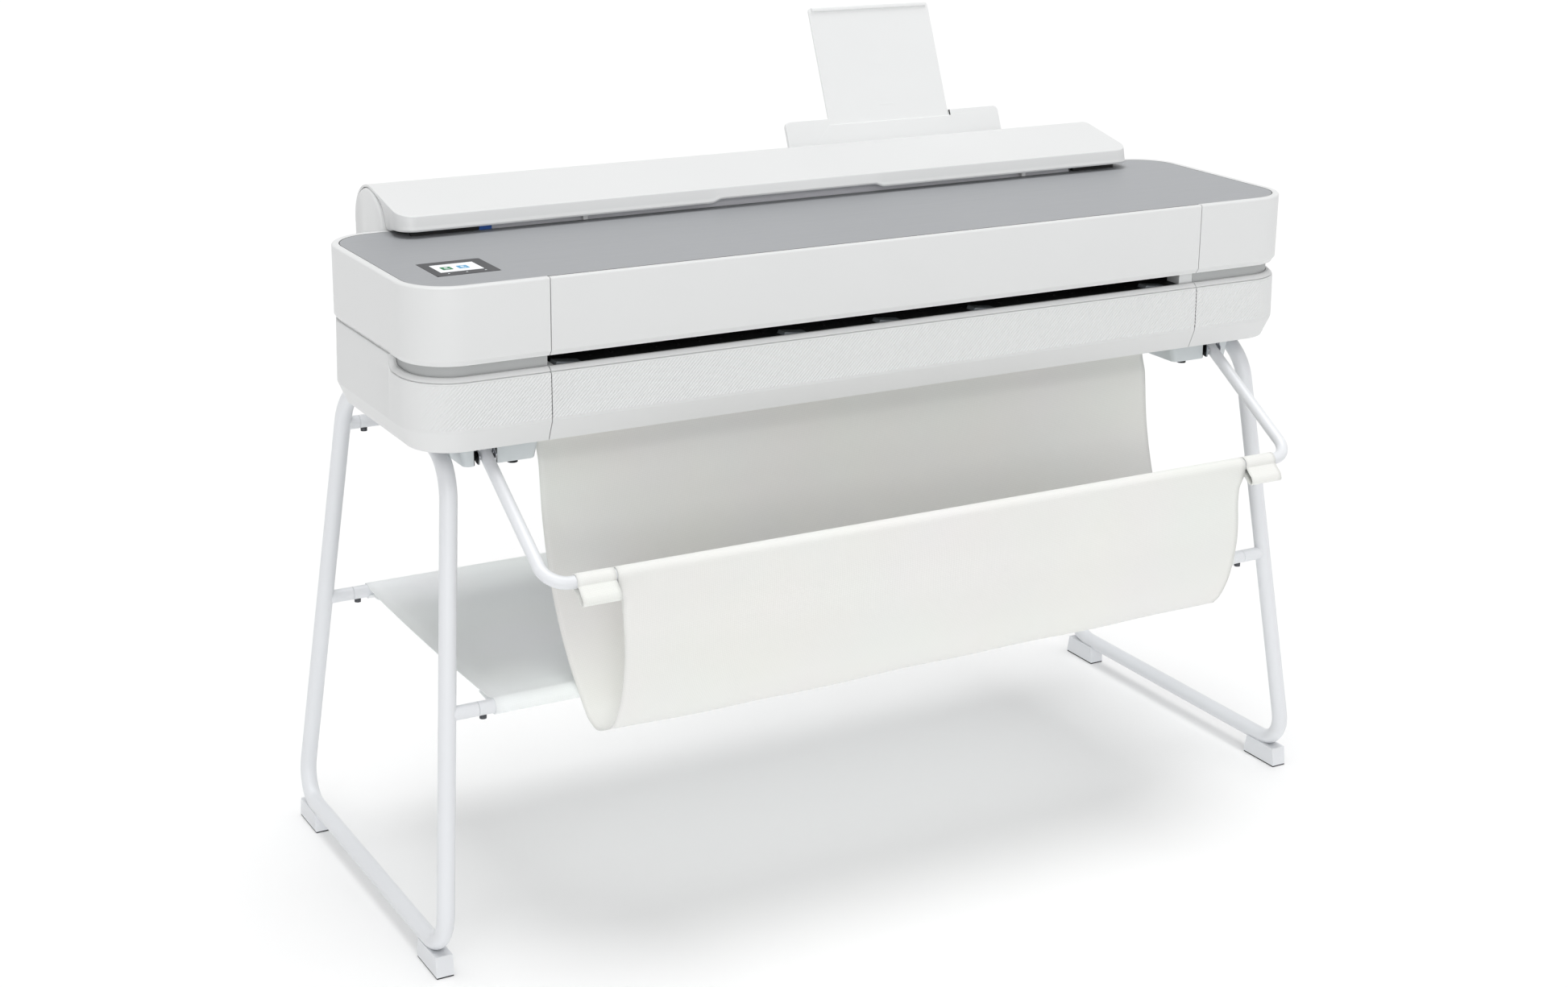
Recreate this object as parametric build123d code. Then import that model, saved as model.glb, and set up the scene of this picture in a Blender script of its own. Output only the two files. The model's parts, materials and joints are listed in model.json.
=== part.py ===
"""Large format plotter: a 36 inch roll printer on a tubular stand with a cloth media basket.

Millimetres. +X is the operator's right, +Y runs back, +Z is up. Every size below is given with
"depth" measured back from the body's front face; save() moves each piece by FRONT_Y, so that the
origin of the finished part is the centre of its box, at floor level.
"""

from build123d import *
import math
import os

# ---- driving dimensions -------------------------------------------------------------------
FRONT_Y = -197.05        # where the body's front face stands in the part's own frame
BODY_W = 1317.0          # width of the body
BODY_D = 339.0           # depth of the body below the deck
CORNER_R = 66.0          # plan radius of the body's corners
WALL = 3.5               # moulded casing wall
DECK_Z = 857.0           # top of the white rim
WAIST_HIGH = 761.0       # lower edge of the upper casing
WAIST_LOW = 741.0        # upper edge of the lower casing's front face
CHAMFER_Z = 680.0        # where the lower casing starts to draw in
BODY_Z = 653.0           # underside of the body
SEAM_X = 487.0           # the two vertical seams that part the centre from the end caps
SEAM_GAP = 0.4
WAIST_DEPTH = 97.0       # how far back the open waist channel runs along each side
BEVEL_IN = 8.0           # how far the bevels at the waist draw in
BEVEL_Z = 4.5            # and their height
RIM = 9.5                # white rim around the deck plate
SKIN_Z = 850.0           # underside of the skin below the deck plate
PLATE_T = 3.0            # deck plate

ROLL_Y = 388.5           # axis of the paper roll
ROLL_Z = 854.0
END_R = 49.2             # radius of the tombstone end walls
END_X = (556.0, 573.0)   # inner and outer face of an end wall
END_FOOT_Z = 700.0       # bottom of the roll housing
HOUSING_D = 438.0        # back of the roll housing
SPINDLE_R = 8.0
ROLL_R = 42.0
CORE_R = 25.4
ROLL_X = (-440.0, 474.0)
HUB_R = 36.0
HUB_T = 18.0

COVER_R = 53.2           # outside radius of the roll cover over the roll
COVER_IN = 50.0
COVER_X = 571.0
COVER_FRONT = 277.0      # front of the cover's lip
COVER_SLOPE = 12.0       # fall of its flat top, degrees
LIP_Z = 865.0
COVER_HINGE = (449.0, 843.0)
COVER_PIN_R = 2.0

LEAN = 23.0              # how far the sheet feeder leans back, degrees
TRAY_PIVOT = (462.0, 885.0)
TRAY_X = (97.2, 467.8)
TRAY_T = 6.5
TRAY_UP = 45.0
TRAY_DOWN = 38.0
EXT_X = (171.0, 379.0)
EXT_T = 3.0
EXT_TOP = 213.0
EXT_FOOT = 10.0
POCKET_GAP = 0.25

LEG_R = 11.0             # stand tube
FRAME_TOP = (605.0, 642.0)      # x and z of the side frame's top run
FRAME_FOOT = (662.0, 33.0)      # x and z of its floor run
LEG_Y_FOOT = (-48.0, 484.0)     # front and rear corners of the floor run
LEG_Y_TOP = (41.0, 404.0)       # front and rear corners of the top run
BEND_FOOT = 45.0
BEND_TOP = 65.0
BAR_R = 9.0
JOINT_X = {"upper": 588.0, "shelf": 595.0}
BODY_BOLT_Y = (180.0, 300.0)
BODY_BOLT_R = 3.0
UPPER_BAR = (412.0, 584.0)
SHELF_Z = 330.0
FOOT_Y = ((-43.0, 24.0), (411.0, 478.0))
FOOT_W = 23.0
FOOT_TOP = 28.0
PAD_T = 2.0

ARM_X = 556.0            # basket arms
ARM_PIVOT = (54.0, 641.0)
BASKET_BAR = (-135.5, 525.0)
BASKET_R = 8.0
BASKET_BEND = 30.0
PIVOT_PIN_R = 4.0
CLOTH_X = 470.0
CLOTH_T = 2.0
HANG_ROD = (92.0, 640.0)
HANG_ROD_R = 4.0
BASKET_BACK = [(89.5, 635.6), (84.0, 600.0), (72.0, 520.0), (47.0, 441.0), (15.0, 384.0),
               (-28.0, 335.0), (-58.0, 310.0), (-76.0, 306.0)]
WEB_X = (-440.0, 474.0)  # the paper between the roll and the platen
WEB_T = 0.4
WEB = [(381.05, 896.25), (373.83, 894.31), (340.0, 882.1), (310.0, 871.2), (298.6, 864.2), (293.6, 855.0),
       (292.0, 842.0), (290.0, 820.0), (270.0, 785.0), (220.0, 762.0), (160.0, 757.3), (135.0, 756.6)]
BASKET_FRONT = [(-86.0, 306.8), (-104.0, 315.0), (-130.0, 352.0), (-143.0, 392.0), (-147.0, 432.0),
                (-146.6, 490.0), (-145.2, 522.0)]

PLATE_X = 500.0          # outside of the chassis end plates
PLATE_STEEL = 3.0
FEED = (112.0, 744.0)    # feed roller axis
FEED_R = 12.0
PINCH_R = 6.0
PINCH_Z = 762.4
GUIDE = (117.0, 815.0)   # carriage guide rod
GUIDE_R = 8.0
CARRIAGE_REST = 425.0
BELT_Y = (131.0, 137.0)
BELT_Z = 792.0
PULLEY_R = 8.0
PULLEY_X = 478.0
RUN_FIT = 0.05           # radial clearance of every running fit
MODULE = 1.5


# ---- helpers ------------------------------------------------------------------------------
def block(x0, x1, y0, y1, z0, z1):
    """A box between two corners."""
    centre = Pos((x0 + x1) / 2, (y0 + y1) / 2, (z0 + z1) / 2)
    return centre * Box(x1 - x0, y1 - y0, z1 - z0)


def rod_x(r, x0, x1, y, z):
    return Pos((x0 + x1) / 2, y, z) * Rot(0, 90, 0) * Cylinder(r, x1 - x0)


def rod_y(r, x, y0, y1, z):
    return Pos(x, (y0 + y1) / 2, z) * Rot(90, 0, 0) * Cylinder(r, y1 - y0)


def rod_z(r, x, y, z0, z1):
    return Pos(x, y, (z0 + z1) / 2) * Cylinder(r, z1 - z0)


def slice_x(face, x0, x1):
    """Carries a face drawn with (depth, height) along X."""
    return extrude(Plane.YZ.offset(x0) * face, amount=x1 - x0)


def polygon(*points):
    return make_face(Polyline(*points, close=True))


def outline(inset, z):
    """The body's rounded plan, drawn in by inset, at height z."""
    shape = RectangleRounded(BODY_W - 2 * inset, BODY_D - 2 * inset, CORNER_R - inset)
    return Pos(0, BODY_D / 2, z) * shape


def stack(*stations):
    """Fuses straight lofts between (height, inset) stations of the body's plan."""
    solid = None
    for (z0, in0), (z1, in1) in zip(stations, stations[1:]):
        piece = loft([outline(in0, z0), outline(in1, z1)], ruled=True)
        solid = piece if solid is None else solid + piece
    return solid


def end_zone(side, x0=SEAM_X + SEAM_GAP, x1=BODY_W):
    """A tall box that holds one end of the body, beyond its seam."""
    low, high = sorted((side * x0, side * x1))
    return block(low, high, -BODY_D, 2 * BODY_D, 0, 2 * DECK_Z)


def centre_zone(y0=-BODY_D, y1=2 * BODY_D):
    half = SEAM_X - SEAM_GAP
    return block(-half, half, y0, y1, 0, 2 * DECK_Z)


def joined(pieces):
    """Gathers separate solids into one node."""
    whole = pieces[0]
    for piece in pieces[1:]:
        whole = whole + piece
    return whole


def both(make):
    return make(-1) + make(1)


def gear(teeth, width, x0, y, z, bore):
    """A straight gear on an X axis, its teeth cut slim so that a pair turns freely."""
    pitch, step = MODULE * teeth / 2, 360 / teeth
    root, tip = pitch - 1.25 * MODULE, pitch + 0.75 * MODULE
    points = []
    for i in range(teeth):
        for radius, share in ((root, -0.28), (tip, -0.12), (tip, 0.12), (root, 0.28)):
            angle = math.radians((i + share) * step)
            points.append((radius * math.cos(angle), radius * math.sin(angle)))
    face = polygon(*points)
    if bore:
        face = face - Circle(bore)
    return slice_x(Pos(y, z) * face, x0, x0 + width)


def save(name, shape):
    export_step(Pos(0, FRONT_Y, 0) * shape, f"parts/{name}.step")


# ---- casings ------------------------------------------------------------------------------
def upper_shell():
    """The upper casing in one piece: wall, bevelled rim, skin under the deck, bevelled foot."""
    top_bevel = 3.0
    walls = stack((WAIST_HIGH, 0), (DECK_Z - top_bevel, 0), (DECK_Z, top_bevel))
    inside = stack((WAIST_HIGH - 1, WALL), (SKIN_Z, WALL))
    pocket = extrude(outline(RIM, DECK_Z - PLATE_T - 0.5), amount=PLATE_T + 1)
    foot = stack((WAIST_HIGH - BEVEL_Z, BEVEL_IN), (WAIST_HIGH, 0))
    foot_inside = stack((WAIST_HIGH - BEVEL_Z - 1, BEVEL_IN + WALL), (WAIST_HIGH + 1, WALL))
    open_side = block(-BODY_W, BODY_W, WAIST_DEPTH, 2 * BODY_D, 0, WAIST_HIGH)
    return walls - inside - pocket + (foot - foot_inside - open_side)


def lower_shell():
    """The lower casing in one piece, open above and below, closing the waist further back."""
    outer = stack((BODY_Z, 12), (CHAMFER_Z, 0.5), (WAIST_LOW, 2), (WAIST_LOW + BEVEL_Z + 1, BEVEL_IN))
    inner = stack((BODY_Z - 0.01, 12 + WALL), (CHAMFER_Z, WALL + 0.5), (WAIST_LOW, WALL + 2),
                  (WAIST_LOW + BEVEL_Z + 1.01, BEVEL_IN + WALL))
    collar = extrude(outline(2, WAIST_LOW), amount=WAIST_HIGH - 1.2 - WAIST_LOW)
    collar = collar - extrude(outline(2 + WALL, WAIST_LOW - 1), amount=40)
    behind = block(-BODY_W, BODY_W, WAIST_DEPTH, 2 * BODY_D, 0, DECK_Z)
    return outer - inner + (collar & behind)


def waist_channel(side):
    """The recessed wall that shows between the two casings round one front corner."""
    ring = extrude(outline(BEVEL_IN + WALL + 0.5, WAIST_LOW - 4), amount=28)
    ring = ring - extrude(outline(BEVEL_IN + WALL + 3, WAIST_LOW - 5), amount=30)
    return ring & end_zone(side) & block(-BODY_W, BODY_W, -10, WAIST_DEPTH + 2, 0, DECK_Z)


def front_window():
    """The hinged front panel: fascia, bevelled foot and the barrel that forms its rim."""
    barrel_r, barrel_y = 3.6, 5.5
    barrel_z = DECK_Z - 0.1 - barrel_r
    half = SEAM_X - SEAM_GAP
    foot_z = WAIST_HIGH - BEVEL_Z
    fascia = polygon((0, WAIST_HIGH), (BEVEL_IN, foot_z), (BEVEL_IN, foot_z + 3), (WALL, WAIST_HIGH + 2),
                     (WALL, barrel_z), (barrel_y, barrel_z), (barrel_y, DECK_Z - 0.1), (3, DECK_Z - 0.1),
                     (0, DECK_Z - 3))
    body = slice_x(fascia, -half, half) + rod_x(barrel_r, -half, half, barrel_y, barrel_z)
    for side in (-1, 1):
        x0, x1 = sorted((side * (half - 12), side * (half + 1)))
        body = body - rod_x(1.5 + RUN_FIT, x0, x1, barrel_y, barrel_z)
    return body


def window_pin(side):
    return rod_x(1.5, *sorted((side * (SEAM_X - 10), side * (SEAM_X + 10))), 5.5, DECK_Z - 3.7)


def web_slot():
    """The long slot in the deck through which the paper comes down from the roll."""
    return block(WEB_X[0] - 0.6, WEB_X[1] + 2, 288, 297, SKIN_Z - 1, DECK_Z + 1)


def deck_plate(display):
    plate = extrude(outline(RIM + 0.8, DECK_Z - PLATE_T - 0.5), amount=PLATE_T) - web_slot()
    x0, x1, y0, y1 = display
    return plate - block(x0 - 0.1, x1 + 0.1, y0 - 0.1, y1 + 0.1, SKIN_Z, 2 * DECK_Z)


def loading_guide():
    """Two end blocks and a side stop that stand on the deck behind the slot's ends."""
    y0, y1, z0, z1 = 288.6, 296, DECK_Z - 0.5, 868
    return joined([block(x0, x1, y0, y1, z0, z1) for x0, x1 in ((-551, -458.5), (-458, -441), (478, 551))])


def display_bezel(display, screen):
    x0, x1, y0, y1 = display
    plate = extrude(RectangleRounded(x1 - x0, y1 - y0, 5), 3.4)
    return Pos((x0 + x1) / 2, (y0 + y1) / 2, DECK_Z - 3.5) * plate - block(*screen, DECK_Z - 1.6, DECK_Z + 1)


def ramp(x):
    """A sheet guide on the platen's front edge, rising to the back."""
    return slice_x(polygon((12.5, 745.0), (34.0, 745.0), (34.0, 749.2), (30.0, 749.2)), x - 18, x + 18)


def platen():
    """The black bed that the paper crosses, with ribs along its length."""
    bed = block(-486, 486, 12.5, 96, 738, 745) + block(-497, 497, 40, 96, 738, 745)
    for i in range(-16, 17):
        bed = bed + block(i * 30 - 1, i * 30 + 1, 36, 94, 744.5, 746)
    return bed


def roll_end(side):
    """One tombstone end wall of the roll housing, with the spindle's bearing inside."""
    x0, x1 = sorted((side * END_X[0], side * END_X[1]))
    foot = block(x0, x1, ROLL_Y - END_R, ROLL_Y + END_R, END_FOOT_Z, ROLL_Z)
    wall = foot + rod_x(END_R, x0, x1, ROLL_Y, ROLL_Z)
    bore_x = sorted((side * (END_X[0] - 1), side * (END_X[0] + 13)))
    wall = wall - rod_x(SPINDLE_R + RUN_FIT, *bore_x, ROLL_Y, ROLL_Z)
    if side < 0:
        wall = wall - rod_x(3 + RUN_FIT, x0 + 4, x1 + 1, ROLL_Y, pinion_z())
    return wall


def pinion_z():
    return ROLL_Z - MODULE * (30 + 15) / 2


def rear_casing():
    """The box behind the body: trough floor, back wall, bottom, and the cover's hinge lugs."""
    half, y0, t = END_X[0], BODY_D, WALL
    outer = block(-half, half, y0, HOUSING_D, END_FOOT_Z, 806)
    inner = block(-half + t, half - t, y0 + t, HOUSING_D - t, END_FOOT_Z + t, 806 - t)
    wall = block(-half, half, HOUSING_D - t, HOUSING_D, 805, 836)
    body = outer - inner + wall
    for x in (-541, 531):
        web = polygon((436, 830), (449, 838), (453, 843), (449, 847.2), (445, 843), (436, 836))
        lug = slice_x(web, x, x + 10)
        body = body + lug - rod_x(COVER_PIN_R, x - 1, x + 11, *COVER_HINGE)
    back = HOUSING_D - t - 1
    return body - block(486, 514, back, back + 6, 740, 760) - block(-523, -479, back, back + 6, 742, 758)


def base_pan():
    """The steel floor of the body, folded up at the back behind the centre section."""
    pan = extrude(outline(15.7, BODY_Z), amount=2)
    pan = pan + block(-480, 480, 300, 335, BODY_Z, BODY_Z + 2) + block(-480, 480, 333, 335, BODY_Z, 756)
    for side in (-1, 1):
        for y in BODY_BOLT_Y:
            pan = pan - rod_z(BODY_BOLT_R, side * FRAME_TOP[0], y, BODY_Z - 1, BODY_Z + 3)
    return pan


# ---- roll cover and sheet feeder ----------------------------------------------------------
def cover_section():
    """The cover's section: an arc over the roll, a flat fall to the front, and a deep lip."""
    slope = math.radians(COVER_SLOPE)
    start = -5
    turn = 90 + COVER_SLOPE - start

    def tangent(radius):
        return (ROLL_Y - radius * math.sin(slope), ROLL_Z + radius * math.cos(slope))

    def on_fall(radius, depth):
        y, z = tangent(radius)
        return (depth, z - (y - depth) * math.tan(slope))

    def tail(radius):
        angle = math.radians(start)
        return (ROLL_Y + radius * math.cos(angle), ROLL_Z + radius * math.sin(angle))

    lip_back = COVER_FRONT + 9
    edges = [
        CenterArc((ROLL_Y, ROLL_Z), COVER_R, start, turn),
        Polyline(tangent(COVER_R), on_fall(COVER_R, COVER_FRONT), (COVER_FRONT, LIP_Z + 4),
                 (COVER_FRONT + 4, LIP_Z), (lip_back, LIP_Z), on_fall(COVER_IN, lip_back), tangent(COVER_IN)),
        CenterArc((ROLL_Y, ROLL_Z), COVER_IN, start, turn),
        Line(tail(COVER_IN), tail(COVER_R)),
    ]
    return make_face(edges)


def cheek(side):
    """The web that closes the cover's end between the lip and the tombstone wall."""
    x0, x1 = sorted((side * 552.0, side * 570.4))
    web = slice_x(polygon((322, 858), (345, 858), (372, 895), (372, 902.6), (285, 884.2), (285, 866)), x0, x1)
    web = web - rod_x(COVER_IN, x0 - 1, x1 + 1, ROLL_Y, ROLL_Z)
    return web


def ear(x0, x1):
    """A lug behind the cover that carries one end of the sheet feeder."""
    y, z = TRAY_PIVOT
    lug = slice_x(polygon((430, 868), (y, z - 7), (y, z + 7), (430, 893)), x0, x1) + rod_x(7, x0, x1, y, z)
    return lug - rod_x(COVER_IN + 1, x0 - 1, x1 + 1, ROLL_Y, ROLL_Z)


def roll_cover():
    body = slice_x(cover_section(), -COVER_X, COVER_X)
    corner = 24.0
    deep = 400.0
    plan = Pos(0, COVER_FRONT + deep / 2, 0) * RectangleRounded(2 * COVER_X, deep, corner)
    body = body & extrude(plan, amount=1000)
    body = body + cheek(-1) + cheek(1)
    body = body - block(-117, 129, COVER_FRONT - 1, COVER_FRONT + 10, LIP_Z - 1, LIP_Z + 7)
    for x in (-311, 386):
        body = body + block(x - 3.5, x + 3.5, 282, 288.5, 857.6, 866)
    for x in (-530.6, 520.6):
        web = polygon((438.6, 851), (441.4, 851), (452, 846), (453, 843), (449, 839.2), (445, 843),
                      (439.4, 850))
        body = body + slice_x(web, x, x + 10) - rod_x(COVER_PIN_R + RUN_FIT, x - 1, x + 11, *COVER_HINGE)
    for x0, x1 in ((89.0, 96.8), (468.2, 476.0)):
        body = body + ear(x0, x1)
    for x0, x1 in ((90.8, 97.0), (468.0, 474.2)):
        body = body - rod_x(2.5 + RUN_FIT, x0, x1, *TRAY_PIVOT)
    return body


def cover_pin(x0):
    return rod_x(COVER_PIN_R, x0, x0 + 22, *COVER_HINGE)


def leaning(shape):
    """Stands a piece drawn upright about the feeder's pivot into its leaning plane."""
    return Pos(0, *TRAY_PIVOT) * Rot(-LEAN, 0, 0) * shape


def feeder_flap():
    """The hinged paper support, with the pocket that its extension slides in."""
    x0, x1 = TRAY_X
    face = Pos((x0 + x1) / 2, (TRAY_UP - TRAY_DOWN) / 2) * RectangleRounded(x1 - x0, TRAY_UP + TRAY_DOWN, 8)
    plate = Pos(0, TRAY_T / 2, 0) * extrude(Plane.XZ * face, amount=TRAY_T)
    gap = POCKET_GAP
    half = EXT_T / 2 + gap
    pocket = block(EXT_X[0] - gap, EXT_X[1] + gap, -half, half, -TRAY_DOWN + 2, TRAY_UP + 1)
    notch = block(EXT_X[0] - gap, EXT_X[1] + gap, -TRAY_T, half, TRAY_UP - 9, TRAY_UP + 1)
    body = plate - pocket - notch
    body = body + rod_x(2.5, x0 - 5.5, x0 + 1, 0, 0) + rod_x(2.5, x1 - 1, x1 + 5.5, 0, 0)
    return leaning(body)


def feeder_extension():
    """The pull-out leaf with a raised lip along its head."""
    face = Pos((EXT_X[0] + EXT_X[1]) / 2, (EXT_TOP + EXT_FOOT) / 2)
    face = face * RectangleRounded(EXT_X[1] - EXT_X[0], EXT_TOP - EXT_FOOT, 5)
    leaf = Pos(0, EXT_T / 2, 0) * extrude(Plane.XZ * face, amount=EXT_T)
    lip = block(EXT_X[0] + 4, EXT_X[1] - 4, -EXT_T / 2 - 2.5, -EXT_T / 2 + 0.5, EXT_TOP - 5, EXT_TOP - 1)
    return leaning(leaf + lip)


# ---- paper roll ---------------------------------------------------------------------------
def spindle_hub(side):
    x0 = ROLL_X[0] - HUB_T if side < 0 else ROLL_X[1]
    flange = rod_x(HUB_R, x0, x0 + HUB_T, ROLL_Y, ROLL_Z)
    nose = (ROLL_X[0] - 1, ROLL_X[0] + 40) if side < 0 else (ROLL_X[1] - 40, ROLL_X[1] + 1)
    hub = flange + rod_x(CORE_R, *nose, ROLL_Y, ROLL_Z)
    return hub - rod_x(SPINDLE_R, x0 - 50, x0 + 80, ROLL_Y, ROLL_Z)


def paper_roll():
    wound = rod_x(ROLL_R, *ROLL_X, ROLL_Y, ROLL_Z)
    return wound - rod_x(CORE_R, ROLL_X[0] - 1, ROLL_X[1] + 1, ROLL_Y, ROLL_Z)


def paper_web():
    """The free sheet that runs from the roll down through the deck to the feed roller."""
    path = Spline(*WEB, tangents=[(-0.985, -0.174), (-1.0, -0.03)])
    return slice_x(trace(path, line_width=WEB_T), *WEB_X)


def spindle_pinion():
    wheel = gear(15, 8, -550, ROLL_Y, pinion_z(), 0)
    turned = Pos(0, ROLL_Y, pinion_z()) * Rot(18, 0, 0) * Pos(0, -ROLL_Y, -pinion_z()) * wheel
    return turned + rod_x(3, -565, -549, ROLL_Y, pinion_z())


# ---- paper drive and carriage -------------------------------------------------------------
def chassis_end(side):
    """A steel end plate with the bearings of the feed roller, pinch rollers and guide rod."""
    x0, x1 = sorted((side * (PLATE_X - PLATE_STEEL), side * PLATE_X))
    plate = block(x0, x1, 40, 320, BODY_Z + 2, 845)
    for r, (y, z) in ((5 + RUN_FIT, FEED), (3 + RUN_FIT, (FEED[0], PINCH_Z)), (GUIDE_R, GUIDE)):
        plate = plate - rod_x(r, x0 - 1, x1 + 1, y, z)
    if side < 0:
        plate = plate - rod_x(3 + RUN_FIT, x0 - 1, x1 + 1, *feed_pinion_axis())
    return plate


def feed_pinion_axis():
    return (FEED[0] + MODULE * (40 + 16) / 2, FEED[1])


def feed_roller():
    shaft = rod_x(FEED_R, -494, 494, *FEED) + rod_x(5, -506, 502, *FEED)
    return shaft + gear(40, 7, -512, *FEED, 0)


def feed_pinion():
    y, z = feed_pinion_axis()
    wheel = gear(16, 7, -512, y, z, 0)
    turned = Pos(0, y, z) * Rot(180 / 16, 0, 0) * Pos(0, -y, -z) * wheel
    return turned + rod_x(3, -506, -482, y, z)


def feed_motor():
    y, z = feed_pinion_axis()
    return rod_x(20, -497, -452, y, z) - rod_x(3 + RUN_FIT, -498, -481, y, z)


def pinch_rollers():
    shaft = rod_x(3, -501.5, 501.5, FEED[0], PINCH_Z)
    for i in range(8):
        x = -434 + 124 * i
        shaft = shaft + rod_x(PINCH_R, x - 18, x + 18, FEED[0], PINCH_Z)
    return shaft


def carriage():
    """The ink carriage at its parking place, riding on the guide rod, with four open bays."""
    x = CARRIAGE_REST
    tub = block(x - 58, x + 58, 24, 100, 770, 838)
    for i in range(4):
        bay = x - 42 + 28 * i
        tub = tub - block(bay - 12, bay + 12, 30, 92, 782, 839)
    back = block(x - 58, x + 58, 100, 128.5, 800, 831)
    grip = block(x - 12, x + 12, 104, 128.5, 784.1, 801) + block(x - 12, x + 12, 128, 135, 784.1, 798.5)
    tub = tub + back + grip + block(x - 30, x + 30, 30, 90, 765, 770.5)
    return tub - rod_x(GUIDE_R + RUN_FIT, x - 60, x + 60, *GUIDE)


def cartridge(i):
    bay = CARRIAGE_REST - 42 + 28 * i
    body = block(bay - 11.8, bay + 11.8, 30.2, 91.8, 782, 836)
    return body + block(bay - 8, bay + 8, 30.2, 44, 836, 843)


def belt():
    """The toothed carriage belt as one closed loop round both pulleys."""
    def loop(radius):
        ends = Pos(0, BELT_Z) * SlotCenterToCenter(2 * PULLEY_X, 2 * radius)
        return Pos(0, BELT_Y[1], 0) * extrude(Plane.XZ * ends, amount=BELT_Y[1] - BELT_Y[0])
    return loop(PULLEY_R + 1.3) - loop(PULLEY_R + 0.3)


def pulley(side):
    x = side * PULLEY_X
    wheel = rod_y(PULLEY_R, x, BELT_Y[0], BELT_Y[1], BELT_Z) + rod_y(2.5, x, BELT_Y[1], 158, BELT_Z)
    return wheel + rod_y(PULLEY_R - 3, x, BELT_Y[0] - 1.5, BELT_Y[0], BELT_Z)


def carriage_beam():
    """The steel channel behind the carriage that stiffens the chassis and holds the pulleys."""
    beam = block(-497, 497, 141, 143.5, 765, 842) + block(-497, 497, 141, 170, 839.5, 842)
    for side in (-1, 1):
        beam = beam - rod_y(2.5 + RUN_FIT, side * PULLEY_X, 140, 145, BELT_Z)
    return beam


def carriage_motor():
    x = PULLEY_X
    can = rod_y(18.5, x, 143.5, 200, BELT_Z)
    return can - rod_y(2.5 + RUN_FIT, x, 143, 160, BELT_Z)


# ---- electrics ----------------------------------------------------------------------------
def main_board():
    """The controller board on its stand-offs, with its processor's cooler."""
    board = block(-470, -250, 190, 298, 666, 668) + block(-440, -400, 210, 250, 668, 676)
    for x in (-462, -258):
        for y in (198, 290):
            board = board + rod_z(3, x, y, BODY_Z + 2, 666)
    return board


def power_inlet():
    """The mains socket in the rear casing: a block with an open well and three flat contacts."""
    x, back, z = 500, HOUSING_D - WALL, 750
    inlet = block(x - 18, x + 18, back - 18, back, z - 14, z + 14)
    inlet = inlet - block(x - 13, x + 13, back - 15, back + 1, z - 9, z + 9)
    for dx, dz in ((0, 3), (-7, -3), (7, -3)):
        inlet = inlet + block(x + dx - 2, x + dx + 2, back - 16, back - 4, z + dz - 1, z + dz + 1)
    return inlet


def io_panel():
    """The network and data sockets in the rear casing."""
    back, z = HOUSING_D - WALL, 750
    panel = block(-530, -470, back - 18, back, z - 12, z + 12)
    for x0, x1 in ((-522, -506), (-494, -480)):
        panel = panel - block(x0, x1, back - 15, back + 1, z - 7, z + 7)
    return panel


# ---- stand --------------------------------------------------------------------------------
def slope_x(z):
    """How far out the side frame's plane stands at height z."""
    share = (z - FRAME_FOOT[1]) / (FRAME_TOP[1] - FRAME_FOOT[1])
    return FRAME_FOOT[0] + share * (FRAME_TOP[0] - FRAME_FOOT[0])


def leg_y(which, z):
    share = (z - FRAME_FOOT[1]) / (FRAME_TOP[1] - FRAME_FOOT[1])
    return LEG_Y_FOOT[which] + share * (LEG_Y_TOP[which] - LEG_Y_FOOT[which])


def bar_places():
    """Kind, depth and height of the three bars between the side frames."""
    return [("upper", *UPPER_BAR)] + [("shelf", leg_y(i, SHELF_Z), SHELF_Z) for i in (0, 1)]


def frame_loop(side, radius):
    """The side frame's closed loop as one bent round bar of the given radius."""
    rise = math.hypot(FRAME_TOP[0] - FRAME_FOOT[0], FRAME_TOP[1] - FRAME_FOOT[1])
    up = ((FRAME_TOP[0] - FRAME_FOOT[0]) * side / rise, 0, (FRAME_TOP[1] - FRAME_FOOT[1]) / rise)
    origin = Vector(side * FRAME_FOOT[0], 0, FRAME_FOOT[1])

    def at(y, v):
        return origin + Vector(up[0] * v, y, up[2] * v)

    middle = sum(LEG_Y_FOOT) / 2
    points = [at(middle, 0), at(LEG_Y_FOOT[0], 0), at(LEG_Y_TOP[0], rise), at(LEG_Y_TOP[1], rise),
              at(LEG_Y_FOOT[1], 0), at(middle, 0)]
    radii = [BEND_FOOT, BEND_TOP, BEND_TOP, BEND_FOOT]
    path = FilletPolyline(*points[:-1], at(middle + 0.5, 0), radius=radii)
    section = Plane(origin=path @ 0, z_dir=path % 0) * Circle(radius)
    bar = sweep(section, path=path)
    return bar + rod_y(radius, side * FRAME_FOOT[0], middle - 1, middle + 1, FRAME_FOOT[1])


def side_frame(side):
    """One side of the stand: a closed tube loop with three welded stubs."""
    frame = frame_loop(side, LEG_R)
    for kind, y, z in bar_places():
        frame = frame + rod_x(BAR_R, *sorted((side * JOINT_X[kind], side * slope_x(z))), y, z)
    for y in BODY_BOLT_Y:
        frame = frame - rod_z(BODY_BOLT_R, side * FRAME_TOP[0], y, 600, 700)
    return frame


def cross_bar(kind, y, z):
    """One bar between the two side frames, drilled from below for its bolts."""
    half = JOINT_X[kind] - 0.2
    bar = rod_x(BAR_R, -half, half, y, z)
    for side in (-1, 1):
        bar = bar - rod_z(2.5, side * (half - 7), y, z - BAR_R - 1, z + 2)
    return bar


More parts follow.
